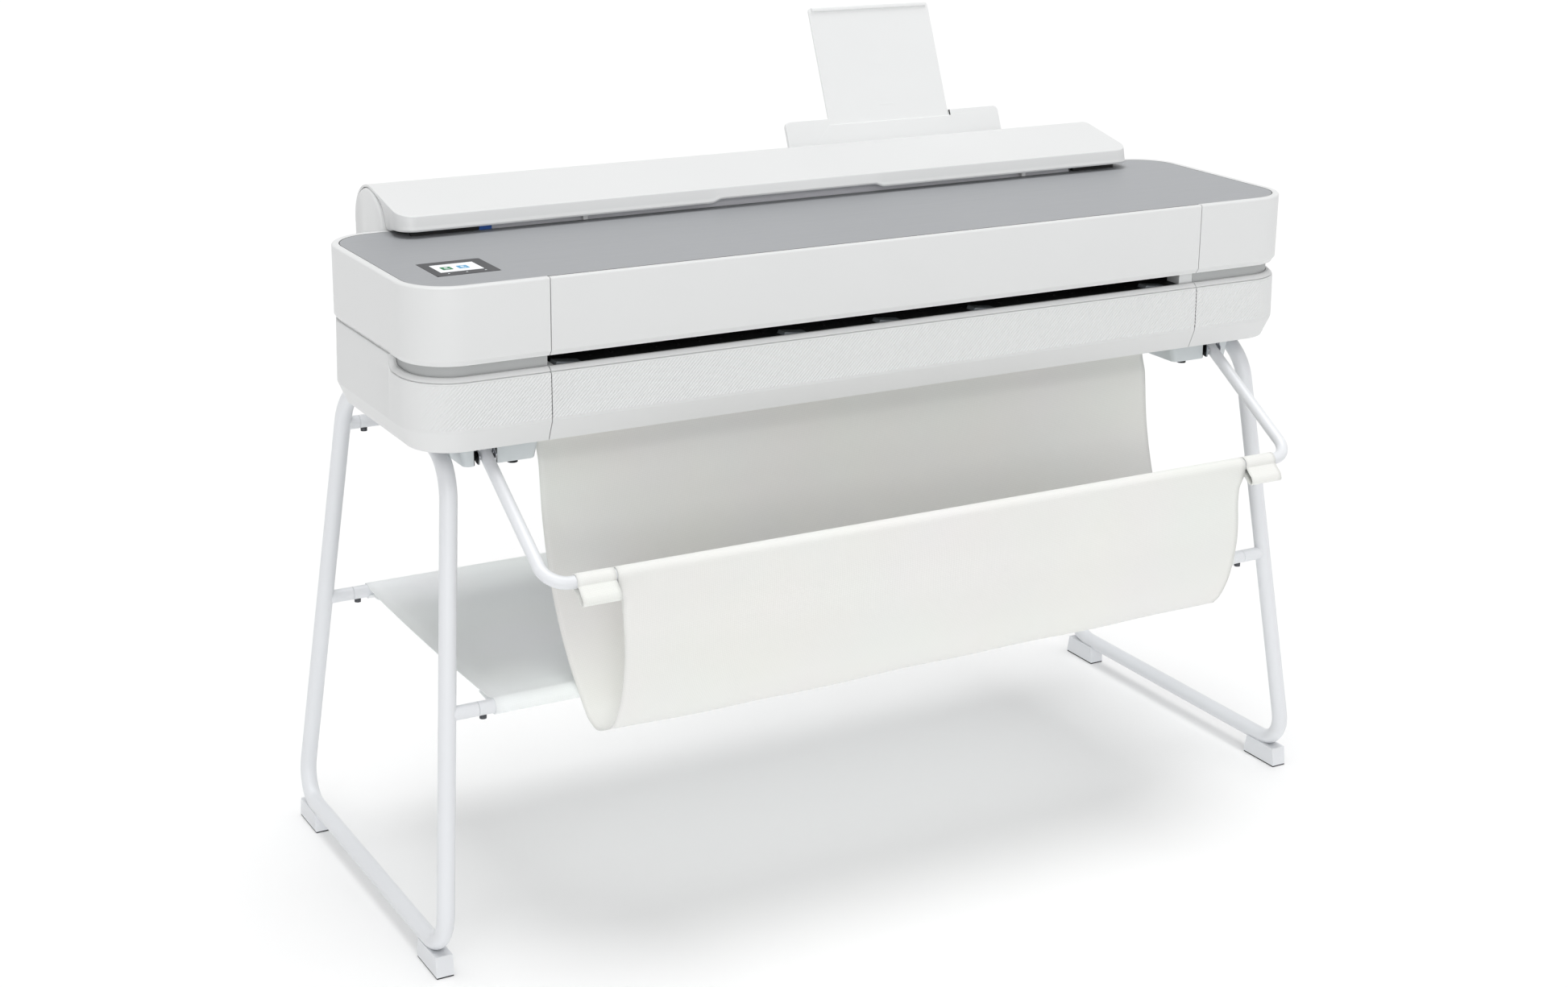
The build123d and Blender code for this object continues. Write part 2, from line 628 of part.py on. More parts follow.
def frame_bolt(kind, y, z, side):
    """A socket bolt that clamps a cross bar to its stub from below."""
    x = side * (JOINT_X[kind] - 7.2)
    head = rod_z(4.5, x, y, z - BAR_R - 4.4, z - BAR_R + 0.2) - rod_z(2.2, x, y, z - BAR_R - 5, z - BAR_R - 2)
    bolt = head + rod_z(2.4, x, y, z - BAR_R - 1, z + 1.8)
    return bolt - rod_x(BAR_R, x - 5, x + 5, y, z) + rod_z(2.4, x, y, z - BAR_R - 1, z + 1.8)


def body_bolt(side, y):
    """A bolt up through the frame's top run into the body's floor."""
    x, z = side * FRAME_TOP[0], FRAME_TOP[1]
    head = rod_z(5, x, y, z - LEG_R - 4, z - LEG_R + 2) - rod_z(2.5, x, y, z - LEG_R - 5, z - LEG_R - 2)
    return head - rod_y(LEG_R, x, y - 6, y + 6, z) + rod_z(BODY_BOLT_R, x, y, z - LEG_R - 1, BODY_Z + 6)


def foot(side, which):
    """A moulded foot block with sloped ends, cradling the floor run of a side frame."""
    y0, y1 = FOOT_Y[which]
    middle, half = side * (FRAME_FOOT[0] - 1), FOOT_W / 2
    profile = polygon((y0, PAD_T), (y1, PAD_T), (y1 - 5, FOOT_TOP), (y0 + 4, FOOT_TOP))
    body = slice_x(profile, middle - half, middle + half)
    return body - frame_loop(side, LEG_R + 0.05)


def foot_pad(side, which):
    y0, y1 = FOOT_Y[which]
    middle, half = side * (FRAME_FOOT[0] - 1), FOOT_W / 2 - 0.5
    return block(middle - half, middle + half, y0 + 0.5, y1 - 0.5, 0, PAD_T)


def four(make):
    return joined([make(side, which) for side in (-1, 1) for which in (0, 1)])


def under_bracket(side):
    """The housing under one end of the body that carries the basket's pivot."""
    top = Pos(side * 536, 98, BODY_Z) * RectangleRounded(108, 106, 8)
    low = Pos(side * 537, 92, 622) * RectangleRounded(94, 94, 8)
    body = loft([low, top], ruled=True)
    body = body - block(*sorted((side * 541, side * 571)), 30, 67, 600, 650.5)
    x0, x1 = sorted((side * 533, side * 579))
    return body - rod_x(PIVOT_PIN_R, x0, x1, *ARM_PIVOT)


def pivot_pin(side):
    return rod_x(PIVOT_PIN_R, *sorted((side * 534, side * 578)), *ARM_PIVOT)


def bracket_stop(side):
    return rod_z(6.5, side * 515, 60, 616.5, 622)


# ---- basket and shelf ---------------------------------------------------------------------
def basket_bar():
    """The U-shaped bar at the basket's mouth, with a bored barrel at each pivot."""
    pivot, bar = Vector(0, *ARM_PIVOT), Vector(0, *BASKET_BAR)
    reach = (bar - pivot).normalized()
    start = pivot + reach * (BASKET_R - 1)
    left, right = Vector(-ARM_X, 0, 0), Vector(ARM_X, 0, 0)
    path = FilletPolyline(start + left, bar + left, bar + right, start + right, radius=BASKET_BEND)
    section = Plane(origin=path @ 0, z_dir=path % 0) * Circle(BASKET_R)
    body = sweep(section, path=path)
    for side in (-1, 1):
        x0, x1 = sorted((side * (ARM_X - 9), side * (ARM_X + 9)))
        body = body + rod_x(BASKET_R, x0, x1, *ARM_PIVOT)
    for side in (-1, 1):
        x0, x1 = sorted((side * (ARM_X - 12), side * (ARM_X + 12)))
        body = body - rod_x(PIVOT_PIN_R + RUN_FIT, x0, x1, *ARM_PIVOT)
    return body


def cloth(points, x0, x1):
    """A cloth wall of even thickness that follows a curve through the given points."""
    return slice_x(trace(Spline(*points), line_width=CLOTH_T), x0, x1)


def ring_x(r_in, r_out, x0, x1, y, z):
    return rod_x(r_out, x0, x1, y, z) - rod_x(r_in, x0 - 1, x1 + 1, y, z)


def basket_front():
    wall = cloth(BASKET_FRONT, -CLOTH_X, CLOTH_X)
    wall = wall - rod_x(BASKET_R + 0.2, -CLOTH_X - 1, CLOTH_X + 1, *BASKET_BAR)
    return wall + ring_x(BASKET_R + 0.2, BASKET_R + 1.8, -CLOTH_X, CLOTH_X, *BASKET_BAR)


def basket_back():
    wall = cloth(BASKET_BACK, -CLOTH_X, CLOTH_X)
    wall = wall - rod_x(HANG_ROD_R + 0.2, -CLOTH_X - 1, CLOTH_X + 1, *HANG_ROD)
    return wall + ring_x(HANG_ROD_R + 0.2, HANG_ROD_R + 1.8, -CLOTH_X, CLOTH_X, *HANG_ROD)


def sleeve_loop(side):
    """The short loop beyond the cloth's edge, with its free tab hanging below the bar."""
    x0, x1 = sorted((side * (CLOTH_X + 2), side * 522))
    y, z = BASKET_BAR
    loop = ring_x(BASKET_R + 0.2, BASKET_R + 1.8, x0, x1, y, z)
    tab = slice_x(polygon((y - 9.9, z - 3), (y - 8.2, z - 3), (y - 14, z - 30), (y - 17, z - 29)), x0, x1)
    return loop + tab


def hang_rod():
    """The steel rod under the body that holds the basket cloth's rear hem."""
    rod = rod_x(HANG_ROD_R, -CLOTH_X - 9, CLOTH_X + 9, *HANG_ROD)
    for side in (-1, 1):
        x0, x1 = sorted((side * (CLOTH_X + 2), side * (CLOTH_X + 8)))
        rod = rod + block(x0, x1, HANG_ROD[0] - 6, HANG_ROD[0] + 6, HANG_ROD[1] - 5, BODY_Z)
    return rod


def shelf_cloth():
    """The cloth shelf, slung between the two lower bars in its own hems."""
    y0, y1 = leg_y(0, SHELF_Z), leg_y(1, SHELF_Z)
    half, inner, outer = 574.0, BAR_R + 0.2, BAR_R + 1.9
    points = [(y0 + 8, SHELF_Z + 5), (y0 + 110, SHELF_Z - 6), ((y0 + y1) / 2, SHELF_Z - 10),
              (y1 - 110, SHELF_Z - 6), (y1 - 8, SHELF_Z + 5)]
    sheet = cloth(points, -half, half)
    for y in (y0, y1):
        sheet = sheet - rod_x(inner, -half - 1, half + 1, y, SHELF_Z)
    for y in (y0, y1):
        sheet = sheet + ring_x(inner, outer, -half, half, y, SHELF_Z)
    return sheet


# ---- the whole machine --------------------------------------------------------------------
def main():
    os.makedirs("parts", exist_ok=True)
    display = (-604.0, -522.5, 62.5, 135.5)
    screen = (-593.0, -537.5, 80.0, 120.5)

    upper, lower = upper_shell(), lower_shell()
    pins = window_pin(-1) + window_pin(1)
    for side, name in ((-1, "left"), (1, "right")):
        save(f"upper_casing_{name}", upper & end_zone(side) - pins)
        save(f"lower_casing_{name}", lower & end_zone(side))
        save(f"roll_end_{name}", roll_end(side))
        save(f"chassis_end_{name}", chassis_end(side))
        save(f"side_frame_{name}", side_frame(side))
    save("upper_casing_centre", (upper & centre_zone(12.0)) - web_slot())
    save("lower_casing_centre", lower & centre_zone(y1=BODY_D / 2))
    save("front_window", front_window())
    save("waist_channels", both(waist_channel))
    save("deck_plate", deck_plate(display))
    save("loading_guide", loading_guide())
    save("display_bezel", display_bezel(display, screen))
    save("display_screen", block(screen[0] + 0.1, screen[1] - 0.1, screen[2] + 0.1, screen[3] - 0.1,
                                 DECK_Z - 1.6, DECK_Z - 0.15))
    save("platen", platen())
    save("sheet_ramps", joined([ramp(x) for x in (-459, -145, -4, 142, 424)]))
    save("rear_casing", rear_casing())
    save("base_pan", base_pan())

    save("roll_cover", roll_cover())
    save("hinge_pins", joined([window_pin(-1), window_pin(1), cover_pin(-541), cover_pin(520)]))
    save("feeder_flap", feeder_flap())
    save("feeder_extension", feeder_extension())

    save("roll_spindle", rod_x(SPINDLE_R, -566, 566, ROLL_Y, ROLL_Z))
    save("spindle_hubs", both(spindle_hub))
    save("paper_roll", paper_roll())
    save("paper_web", paper_web())
    save("spindle_gear", gear(30, 8, -550, ROLL_Y, ROLL_Z, SPINDLE_R))
    save("spindle_pinion", spindle_pinion())

    save("feed_roller", feed_roller())
    save("feed_pinion", feed_pinion())
    save("pinch_rollers", pinch_rollers())
    save("guide_rod", rod_x(GUIDE_R, -PLATE_X, PLATE_X, *GUIDE))
    save("carriage_beam", carriage_beam())
    save("carriage", carriage())
    save("ink_cartridges", joined([cartridge(i) for i in range(4)]))
    save("carriage_belt", belt())
    save("idler_pulley", pulley(-1))
    save("drive_pulley", pulley(1))
    save("drive_motors", feed_motor() + carriage_motor())

    save("main_board", main_board())
    save("power_supply", block(300, 470, 190, 300, BODY_Z + 2, 705))
    save("power_inlet", power_inlet())
    save("io_panel", io_panel())

    bars = bar_places()
    save("cross_bars", joined([cross_bar(*bar) for bar in bars]))
    bolts = [frame_bolt(*bar, side) for bar in bars for side in (-1, 1)]
    save("frame_bolts", joined(bolts + [body_bolt(side, y) for side in (-1, 1) for y in BODY_BOLT_Y]))
    save("foot_blocks", four(foot))
    save("foot_pads", four(foot_pad))
    save("pivot_pins", both(pivot_pin))
    save("under_brackets", both(under_bracket))
    save("bracket_stops", both(bracket_stop))

    save("basket_bar", basket_bar())
    save("basket_front", basket_front())
    save("basket_back", basket_back())
    save("sleeve_loops", both(sleeve_loop))
    save("hang_rod", hang_rod())
    save("shelf_cloth", shelf_cloth())


main()
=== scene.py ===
"""Large format plotter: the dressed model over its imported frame.

Shapes are worked out in millimetres as (x, depth, height), with depth measured back from the
body's front face, and are put into metres in the frame's own axes when the mesh is made.
"""

import json
import math

import bmesh
import bpy
import numpy as np
from bpy.props import FloatProperty, FloatVectorProperty, IntProperty, PointerProperty
from mathutils import Matrix, Vector

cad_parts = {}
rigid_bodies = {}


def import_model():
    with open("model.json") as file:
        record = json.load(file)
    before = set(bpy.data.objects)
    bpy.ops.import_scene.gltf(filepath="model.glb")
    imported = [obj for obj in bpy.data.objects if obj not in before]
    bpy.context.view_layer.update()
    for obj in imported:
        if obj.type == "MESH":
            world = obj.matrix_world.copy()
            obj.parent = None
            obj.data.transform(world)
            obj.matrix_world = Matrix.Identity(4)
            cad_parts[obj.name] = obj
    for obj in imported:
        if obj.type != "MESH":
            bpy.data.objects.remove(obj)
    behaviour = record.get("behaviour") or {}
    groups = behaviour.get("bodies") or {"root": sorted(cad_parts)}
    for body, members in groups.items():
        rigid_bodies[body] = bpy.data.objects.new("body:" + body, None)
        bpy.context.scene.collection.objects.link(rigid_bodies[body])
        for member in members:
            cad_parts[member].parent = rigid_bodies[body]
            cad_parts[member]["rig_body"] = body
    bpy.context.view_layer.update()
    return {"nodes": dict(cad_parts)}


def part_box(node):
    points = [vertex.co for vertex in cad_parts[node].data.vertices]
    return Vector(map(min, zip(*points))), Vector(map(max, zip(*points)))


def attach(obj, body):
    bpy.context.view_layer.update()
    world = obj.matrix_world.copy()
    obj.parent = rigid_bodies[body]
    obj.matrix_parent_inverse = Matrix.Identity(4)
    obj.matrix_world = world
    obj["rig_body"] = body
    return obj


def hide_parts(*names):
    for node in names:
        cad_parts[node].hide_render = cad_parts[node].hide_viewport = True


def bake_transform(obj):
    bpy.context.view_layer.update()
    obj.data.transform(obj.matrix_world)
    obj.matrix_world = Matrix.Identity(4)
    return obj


bl_info = {
    "name": "Large Format Plotter",
    "version": (1, 0, 0),
    "blender": (4, 5, 0),
    "location": "3D View > Sidebar > Plotter",
    "description": "Dresses the packed frame of a large format plotter on its stand",
    "category": "Object",
}

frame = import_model()
NODES = frame["nodes"]
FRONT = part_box("front_window")[0].y

# The body in plan: half its width, its depth, its corners, where the seams part it, and the
# straight run between a seam and its corner.
HALF_WIDTH = 658.5
DEPTH = 339.0
CORNER = 66.0
SEAM = 487.0
SEAM_GAP = 0.6
CAP_RUN = HALF_WIDTH - CORNER - SEAM - SEAM_GAP
# How far back the open waist runs along each side.
WAIST_DEPTH = 97.0
# Axes along x as (depth, height), and how far the pieces on them reach.
ROLL_AXIS = (388.5, 854.0)
ROLL_ENDS = (-440.0, 474.0)
FEEDER_PIVOT = (462.0, 885.0)
FEEDER_LEAN = math.radians(23)
ARM_PIVOT = (54.0, 641.0)
ARM_X = 556.0
BASKET_BAR = (-135.5, 525.0)
HANG_ROD = (92.0, 640.0)
SHELF_HEIGHT = 330.0
# Half the widths of the cloths, whose whole widths are given in metres where they are declared.
BASKET_HALF = 470.0
SHELF_HALF = 574.0


def linear(code):
    """Turns an sRGB hex colour into linear red, green, blue and alpha."""
    raw = np.array([int(code[i : i + 2], 16) for i in (1, 3, 5)]) / 255
    value = np.where(raw <= 0.04045, raw / 12.92, ((raw + 0.055) / 1.055) ** 2.4)
    return (*value.tolist(), 1.0)


def colour_of(name, description, code):
    """A colour that the user can change, given in sRGB hex."""
    return FloatVectorProperty(
        name=name, description=description, default=linear(code)[:3], subtype="COLOR", min=0, max=1
    )


def length_of(name, description, default):
    """A length in metres that the user can change."""
    return FloatProperty(name=name, description=description, default=default, unit="LENGTH")


def strength_of(name, description, default):
    """A strength of light, or a share, that the user can change."""
    return FloatProperty(name=name, description=description, default=default, min=0)


class PlotterSizes(bpy.types.PropertyGroup):
    """Sizes that the frame leaves to the dressed model."""

    edge_radius: length_of("Edge radius", "Rounding of the mouldings' edges", 0.0008)
    rib_pitch: length_of("Rib pitch", "Distance between the fascia's slanted ribs along X", 0.00497)
    rib_height: length_of("Rib height", "How far the ribs stand out", 0.001)
    cloth_thickness: length_of("Cloth thickness", "Thickness of the basket and shelf cloth", 0.0014)
    cloth_wave: length_of("Cloth wave", "Height of the slow waves in the hanging cloth", 0.0016)
    stitch_drop: length_of("Stitch drop", "How far below the bar the hem is sewn", 0.048)
    bend_steps: IntProperty(name="Bend steps", description="Faces along a bend", default=14, min=4)


class PlotterColours(bpy.types.PropertyGroup):
    """Colours of the plotter's finishes."""

    shell: colour_of("Shell", "Smooth white casings", "#e0e1e1")
    # The feeder is the shell's ABS, drawn brighter: painted light for its faces that lean towards
    # the lamps.
    feeder: colour_of("Feeder", "Flap and leaf for single sheets", "#ebecec")
    fascia: colour_of("Fascia", "Ribbed lower casings", "#dfe0e0")
    deck: colour_of("Deck", "Satin sheet on top of the body", "#9fa1a4")
    bezel: colour_of("Bezel", "Frame of the display", "#38393c")
    hub: colour_of("Hub", "Moulded hubs and side stop", "#2f62b5")
    paper: colour_of("Paper", "Roll and loose sheet", "#e9e9ee")
    frame: colour_of("Stand", "Powder coat of the stand", "#e3e5e8")
    cloth: colour_of("Basket cloth", "Woven basket cloth", "#f2f2ef")
    shelf: colour_of("Shelf cloth", "Woven shelf cloth", "#ecefef")
    bracket: colour_of("Bracket", "Housings under the body", "#d3d9db")


class PlotterStage(bpy.types.PropertyGroup):
    """Light and floor."""

    low_sky: strength_of("Low sky", "Even light from the sides", 0.46)
    high_sky: strength_of("High sky", "Even light from above", 0.2)
    top_lamp: strength_of("Top lamp", "Strength of the lamp above", 1.9)
    front_lamp: strength_of("Front lamp", "Strength of the lamp in front", 0.4)
    low_lamp: strength_of("Low lamp", "Strength of the lamp near the floor", 0.48)
    lift: strength_of("Lift", "Share of the floor that glows white", 0.14)
    floor: colour_of("Floor", "Pale floor", "#fbfbfb")


# Every finish by name, filled by main() before the steps run.
FINISH = {}


# ---- meshes -------------------------------------------------------------------------------
def fillet(points, radii, steps=6, closed=True):
    """Rounds a polygon's or path's corners: each corner gives way to an arc tangent to both runs.

    The arc's centre lies on the corner's bisector at radius / sin(half angle), and its points turn
    evenly about it from one tangent point to the other.
    """
    p = np.asarray(points, float)
    r = np.maximum(np.broadcast_to(np.asarray(radii, float), len(p)), 1e-3)[:, None]
    before, after = np.roll(p, 1, 0) - p, np.roll(p, -1, 0) - p
    before /= np.linalg.norm(before, axis=1, keepdims=True)
    after /= np.linalg.norm(after, axis=1, keepdims=True)
    half = np.arccos(np.clip((before * after).sum(1, keepdims=True), -1, 1)) / 2
    half = np.minimum(half, math.pi / 2 - 1e-4)
    middle = before + after
    middle /= np.maximum(np.linalg.norm(middle, axis=1, keepdims=True), 1e-9)
    centre = p + middle * r / np.sin(half)
    start = p + before * r / np.tan(half) - centre
    end = p + after * r / np.tan(half) - centre
    turn = (math.pi - 2 * half)[:, None]
    share = np.linspace(0, 1, steps + 1)[None, :, None]
    arc = np.sin((1 - share) * turn) * start[:, None] + np.sin(share * turn) * end[:, None]
    arc = arc / np.sin(turn) + centre[:, None]
    if closed:
        return arc.reshape(-1, p.shape[1])
    return np.vstack([p[:1], arc[1:-1].reshape(-1, p.shape[1]), p[-1:]])


def smooth_path(points, count):
    """A cubic through the points: Hermite runs whose tangents are the slopes over chord length."""
    p = np.asarray(points, float)
    s = np.r_[0, np.cumsum(np.linalg.norm(np.diff(p, axis=0), axis=1))]
    slope = np.gradient(p, s, axis=0)
    q = np.linspace(0, s[-1], count)
    i = np.clip(np.searchsorted(s, q, "right") - 1, 0, len(p) - 2)
    h = (s[i + 1] - s[i])[:, None]
    t = (q - s[i])[:, None] / h
    return (
        (2 * t**3 - 3 * t**2 + 1) * p[i]
        + (t**3 - 2 * t**2 + t) * h * slope[i]
        + (3 * t**2 - 2 * t**3) * p[i + 1]
        + (t**3 - t**2) * h * slope[i + 1]
    )


def run_length(path):
    """Length of a path up to each of its points: the running sum of its chords."""
    return np.r_[0, np.cumsum(np.linalg.norm(np.diff(path, axis=0), axis=1))]


def smoothstep(value):
    """Nought below nought, one above one, and three t squared less two t cubed between."""
    t = np.clip(value, 0, 1)
    return t * t * (3 - 2 * t)


def skin(points, round_u=False, round_v=False, caps=False, uv=None):
    """Faces over a grid of points; caps closes the first and last row with one face each."""
    rows, columns = points.shape[:2]
    index = np.arange(rows * columns).reshape(rows, columns)
    grid = np.vstack([index, index[:1]]) if round_u else index
    grid = np.hstack([grid, grid[:, :1]]) if round_v else grid
    quads = np.stack([grid[:-1, :-1], grid[1:, :-1], grid[1:, 1:], grid[:-1, 1:]], -1)
    faces = quads.reshape(-1, 4).tolist()
    if caps:
        faces += [index[0].tolist()[::-1], index[-1].tolist()]
    flat = None if uv is None else np.asarray(uv, float).reshape(-1, 2)
    return points.reshape(-1, 3), faces, flat


def solid(rows):
    """A closed body: every row of points is a loop, and the first and last are filled in."""
    return skin(np.asarray(rows), round_v=True, caps=True)


def prism(outline, low, high, axis="x"):
    """A flat outline carried along an axis: (depth, height) along x, (x, depth) along z."""
    flat = np.asarray(outline, float)
    ends = np.array([low, high], float)[:, None, None]
    ends = np.broadcast_to(ends, (2, len(flat), 1))
    body = np.broadcast_to(flat, (2, *flat.shape))
    order = {"x": (0, 1, 2), "z": (1, 2, 0), "y": (1, 0, 2)}[axis]
    return solid(np.concatenate([ends, body], 2)[:, :, order])


def tube(path, radius, normal, closed=False, sides=28):
    """A round bar on a flat path: each ring is spanned by the path's plane normal and its cross
    product with the tangent."""
    p = np.asarray(path, float)
    if closed:
        tangent = np.roll(p, -1, 0) - np.roll(p, 1, 0)
    else:
        tangent = np.gradient(p, run_length(p), axis=0)
    tangent /= np.linalg.norm(tangent, axis=1, keepdims=True)
    n = np.asarray(normal, float)
    n = n / np.linalg.norm(n)
    across = np.cross(tangent, n)
    angle = np.arange(sides) * 2 * math.pi / sides
    ring = np.cos(angle)[None, :, None] * n + np.sin(angle)[None, :, None] * across[:, None]
    return skin(p[:, None] + radius * ring, round_u=closed, round_v=True, caps=not closed)


def lathe_x(profile, y, z, sides=48):
    """A profile of (x, radius) turned about a line along x; its ends are closed."""
    shape = np.asarray(profile, float)
    angle = np.arange(sides) * 2 * math.pi / sides
    x = np.broadcast_to(shape[:, :1], (len(shape), sides))
    grid = [x, y + shape[:, 1:] * np.cos(angle), z + shape[:, 1:] * np.sin(angle)]
    return solid(np.stack(grid, -1))


def mirrored(chunk):
    """The same piece on the other side: x changes its sign."""
    points, faces, uv = chunk
    return points * np.array([-1.0, 1.0, 1.0]), faces, uv


def as_mesh(name, chunks):
    """Joins chunks of points and faces into one mesh in the frame's metres."""
    starts = np.cumsum([0] + [len(c[0]) for c in chunks])
    points = np.vstack([c[0] for c in chunks]) / 1000 + np.array([0, FRONT, 0])
    faces = [[v + int(s) for v in f] for c, s in zip(chunks, starts) for f in c[1]]
    mesh = bpy.data.meshes.new(name)
    mesh.from_pydata(points.tolist(), [], faces)
    if chunks[0][2] is not None:
        flat = np.vstack([c[2] if c[2] is not None else np.zeros((len(c[0]), 2)) for c in chunks])
        corner = np.zeros(len(mesh.loops), np.int32)
        mesh.loops.foreach_get("vertex_index", corner)
        layer = mesh.uv_layers.new(name="Cloth")
        layer.data.foreach_set("uv", flat[corner].astype(np.float32).ravel())
    return mesh


def tidy_mesh(mesh, angle, outward=True, flat=False):
    """Merges doubles and smooths everything flatter than the angle. Faces are turned outwards, and
    flat joins the triangles of one plane into one face."""
    work = bmesh.new()
    work.from_mesh(mesh)
    bmesh.ops.remove_doubles(work, verts=work.verts, dist=2e-6)
    if flat:
        level = math.radians(1)
        bmesh.ops.dissolve_limit(work, angle_limit=level, verts=work.verts, edges=work.edges)
    else:
        bmesh.ops.dissolve_degenerate(work, edges=work.edges, dist=1e-6)
    if outward:
        bmesh.ops.recalc_face_normals(work, faces=work.faces)
    work.to_mesh(mesh)
    work.free()
    mesh.polygons.foreach_set("use_smooth", np.ones(len(mesh.polygons), bool))
    mesh.set_sharp_from_angle(angle=math.radians(angle))


def place(name, mesh, finish, body, nodes=(), bevel=0.0, wall=0.0, blend=None, slot=None):
    """Puts a finished mesh in the scene as one piece, riding on its body."""
    piece = bpy.data.objects.new(name, mesh)
    bpy.context.scene.collection.objects.link(piece)
    mesh.materials.append(FINISH[finish])
    if wall:
        solid = piece.modifiers.new("Wall", "SOLIDIFY")
        solid.thickness = wall
        solid.offset = 0
        solid.use_even_offset = True
    if bevel:
        edge = piece.modifiers.new("Edges", "BEVEL")
        edge.width = bevel
        edge.segments = 2
        edge.limit_method = "ANGLE"
        edge.angle_limit = math.radians(40)
        edge.harden_normals = True
    if blend:
        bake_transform(piece)
    else:
        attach(piece, body)
    if nodes:
        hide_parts(*nodes)
    return piece


def build(name, chunks, finish, body, nodes=(), angle=34, **options):
    """Makes a piece from chunks of points and faces and puts it on its body."""
    mesh = as_mesh(name, chunks)
    tidy_mesh(mesh, angle, outward=not options.get("blend"))
    return place(name, mesh, finish, body, nodes, **options)


def softened(node, finish, width=0.6):
    """A merged copy of a frame node with its sharp edges rounded, standing for that node."""
    source = NODES[node]
    mesh = source.data.copy()
    mesh.materials.clear()
    tidy_mesh(mesh, 34, outward=False, flat=True)
    place(f"{node}_soft", mesh, finish, source["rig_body"], [node], bevel=width / 1000)


def dress(finish, *nodes):
    """Gives frame nodes a finish and leaves their shapes alone."""
    for node in nodes:
        for holder in NODES[node].material_slots:
            holder.material = FINISH[finish]


# ---- materials ----------------------------------------------------------------------------
def add_node(tree, kind, settings=None, inputs=None):
    """Adds a node, sets its settings, and sets its inputs or links them to other nodes."""
    node = tree.nodes.new(kind)
    for key, value in (settings or {}).items():
        setattr(node, key, value)
    for key, value in (inputs or {}).items():
        socket = node.inputs[key]
        if isinstance(value, bpy.types.NodeSocket):
            tree.links.new(value, socket)
        else:
            socket.default_value = value
    return node


def surface(name, colour, **constants):
    """An empty material with a shader whose constants stand on its own sockets."""
    material = bpy.data.materials.new(name)
    material.use_nodes = True
    tree = material.node_tree
    tree.nodes.clear()
    shader = add_node(tree, "ShaderNodeBsdfPrincipled")
    shader.inputs["Base Color"].default_value = (*colour[:3], 1)
    for key, value in constants.items():
        shader.inputs[key.replace("_", " ")].default_value = value
    add_node(tree, "ShaderNodeOutputMaterial", inputs={"Surface": shader.outputs[0]})
    return material, tree, shader


def moulded(name, colour, grain, relief, roughness, cloud=0.012, **constants):
    """A moulded plastic: spark-eroded grain in relief, and slow clouds of tone and sheen.

    Grain and relief are in millimetres. The tone wanders by the cloud's share either way.
    """
    material, tree, shader = surface(name, colour, **constants)
    where = add_node(tree, "ShaderNodeTexCoord").outputs["Object"]
    cloudy = {"Vector": where, "Scale": 7.0, "Detail": 2.0}
    slow = add_node(tree, "ShaderNodeTexNoise", inputs=cloudy)
    low, high = [tuple(min(1, c * (1 + s)) for c in colour[:3]) + (1,) for s in (-cloud, cloud)]
    tone = add_node(
        tree, "ShaderNodeMix", {"data_type": "RGBA"}, {0: slow.outputs[0], 6: low, 7: high}
    )
    tree.links.new(tone.outputs[2], shader.inputs["Base Color"])
    sheen = add_node(
        tree,
        "ShaderNodeMapRange",
        inputs={0: slow.outputs[0], 1: 0.3, 2: 0.7, 3: roughness - 0.03, 4: roughness + 0.03},
    )
    tree.links.new(sheen.outputs[0], shader.inputs["Roughness"])
    fine = add_node(
        tree, "ShaderNodeTexNoise", inputs={"Vector": where, "Scale": 1000 / grain, "Detail": 1.0}
    )
    bump = add_node(
        tree,
        "ShaderNodeBump",
        inputs={"Height": fine.outputs[0], "Distance": relief / 1000, "Strength": 0.6},
    )
    tree.links.new(bump.outputs[0], shader.inputs["Normal"])
    return material


def sheet_metal(name, colour, roughness, line, **constants):
    """Rolled metal: fine lines along x, worked out by stretching a noise a hundred times."""
    material, tree, shader = surface(name, colour, **constants)
    where = add_node(tree, "ShaderNodeTexCoord").outputs["Object"]
    stretch = (10 / line, 1000 / line, 1000 / line)
    lines = add_node(tree, "ShaderNodeMapping", inputs={"Vector": where, "Scale": stretch})
    grain = add_node(
        tree, "ShaderNodeTexNoise", inputs={"Vector": lines.outputs[0], "Scale": 1.0, "Detail": 3.0}
    )
    rough = add_node(
        tree,
        "ShaderNodeMapRange",
        inputs={0: grain.outputs[0], 1: 0.3, 2: 0.7, 3: roughness - 0.05, 4: roughness + 0.06},
    )
    tree.links.new(rough.outputs[0], shader.inputs["Roughness"])
    bump = add_node(
        tree,
        "ShaderNodeBump",
        inputs={"Height": grain.outputs[0], "Distance": 0.00002, "Strength": 0.5},
    )
    tree.links.new(bump.outputs[0], shader.inputs["Normal"])
    return material


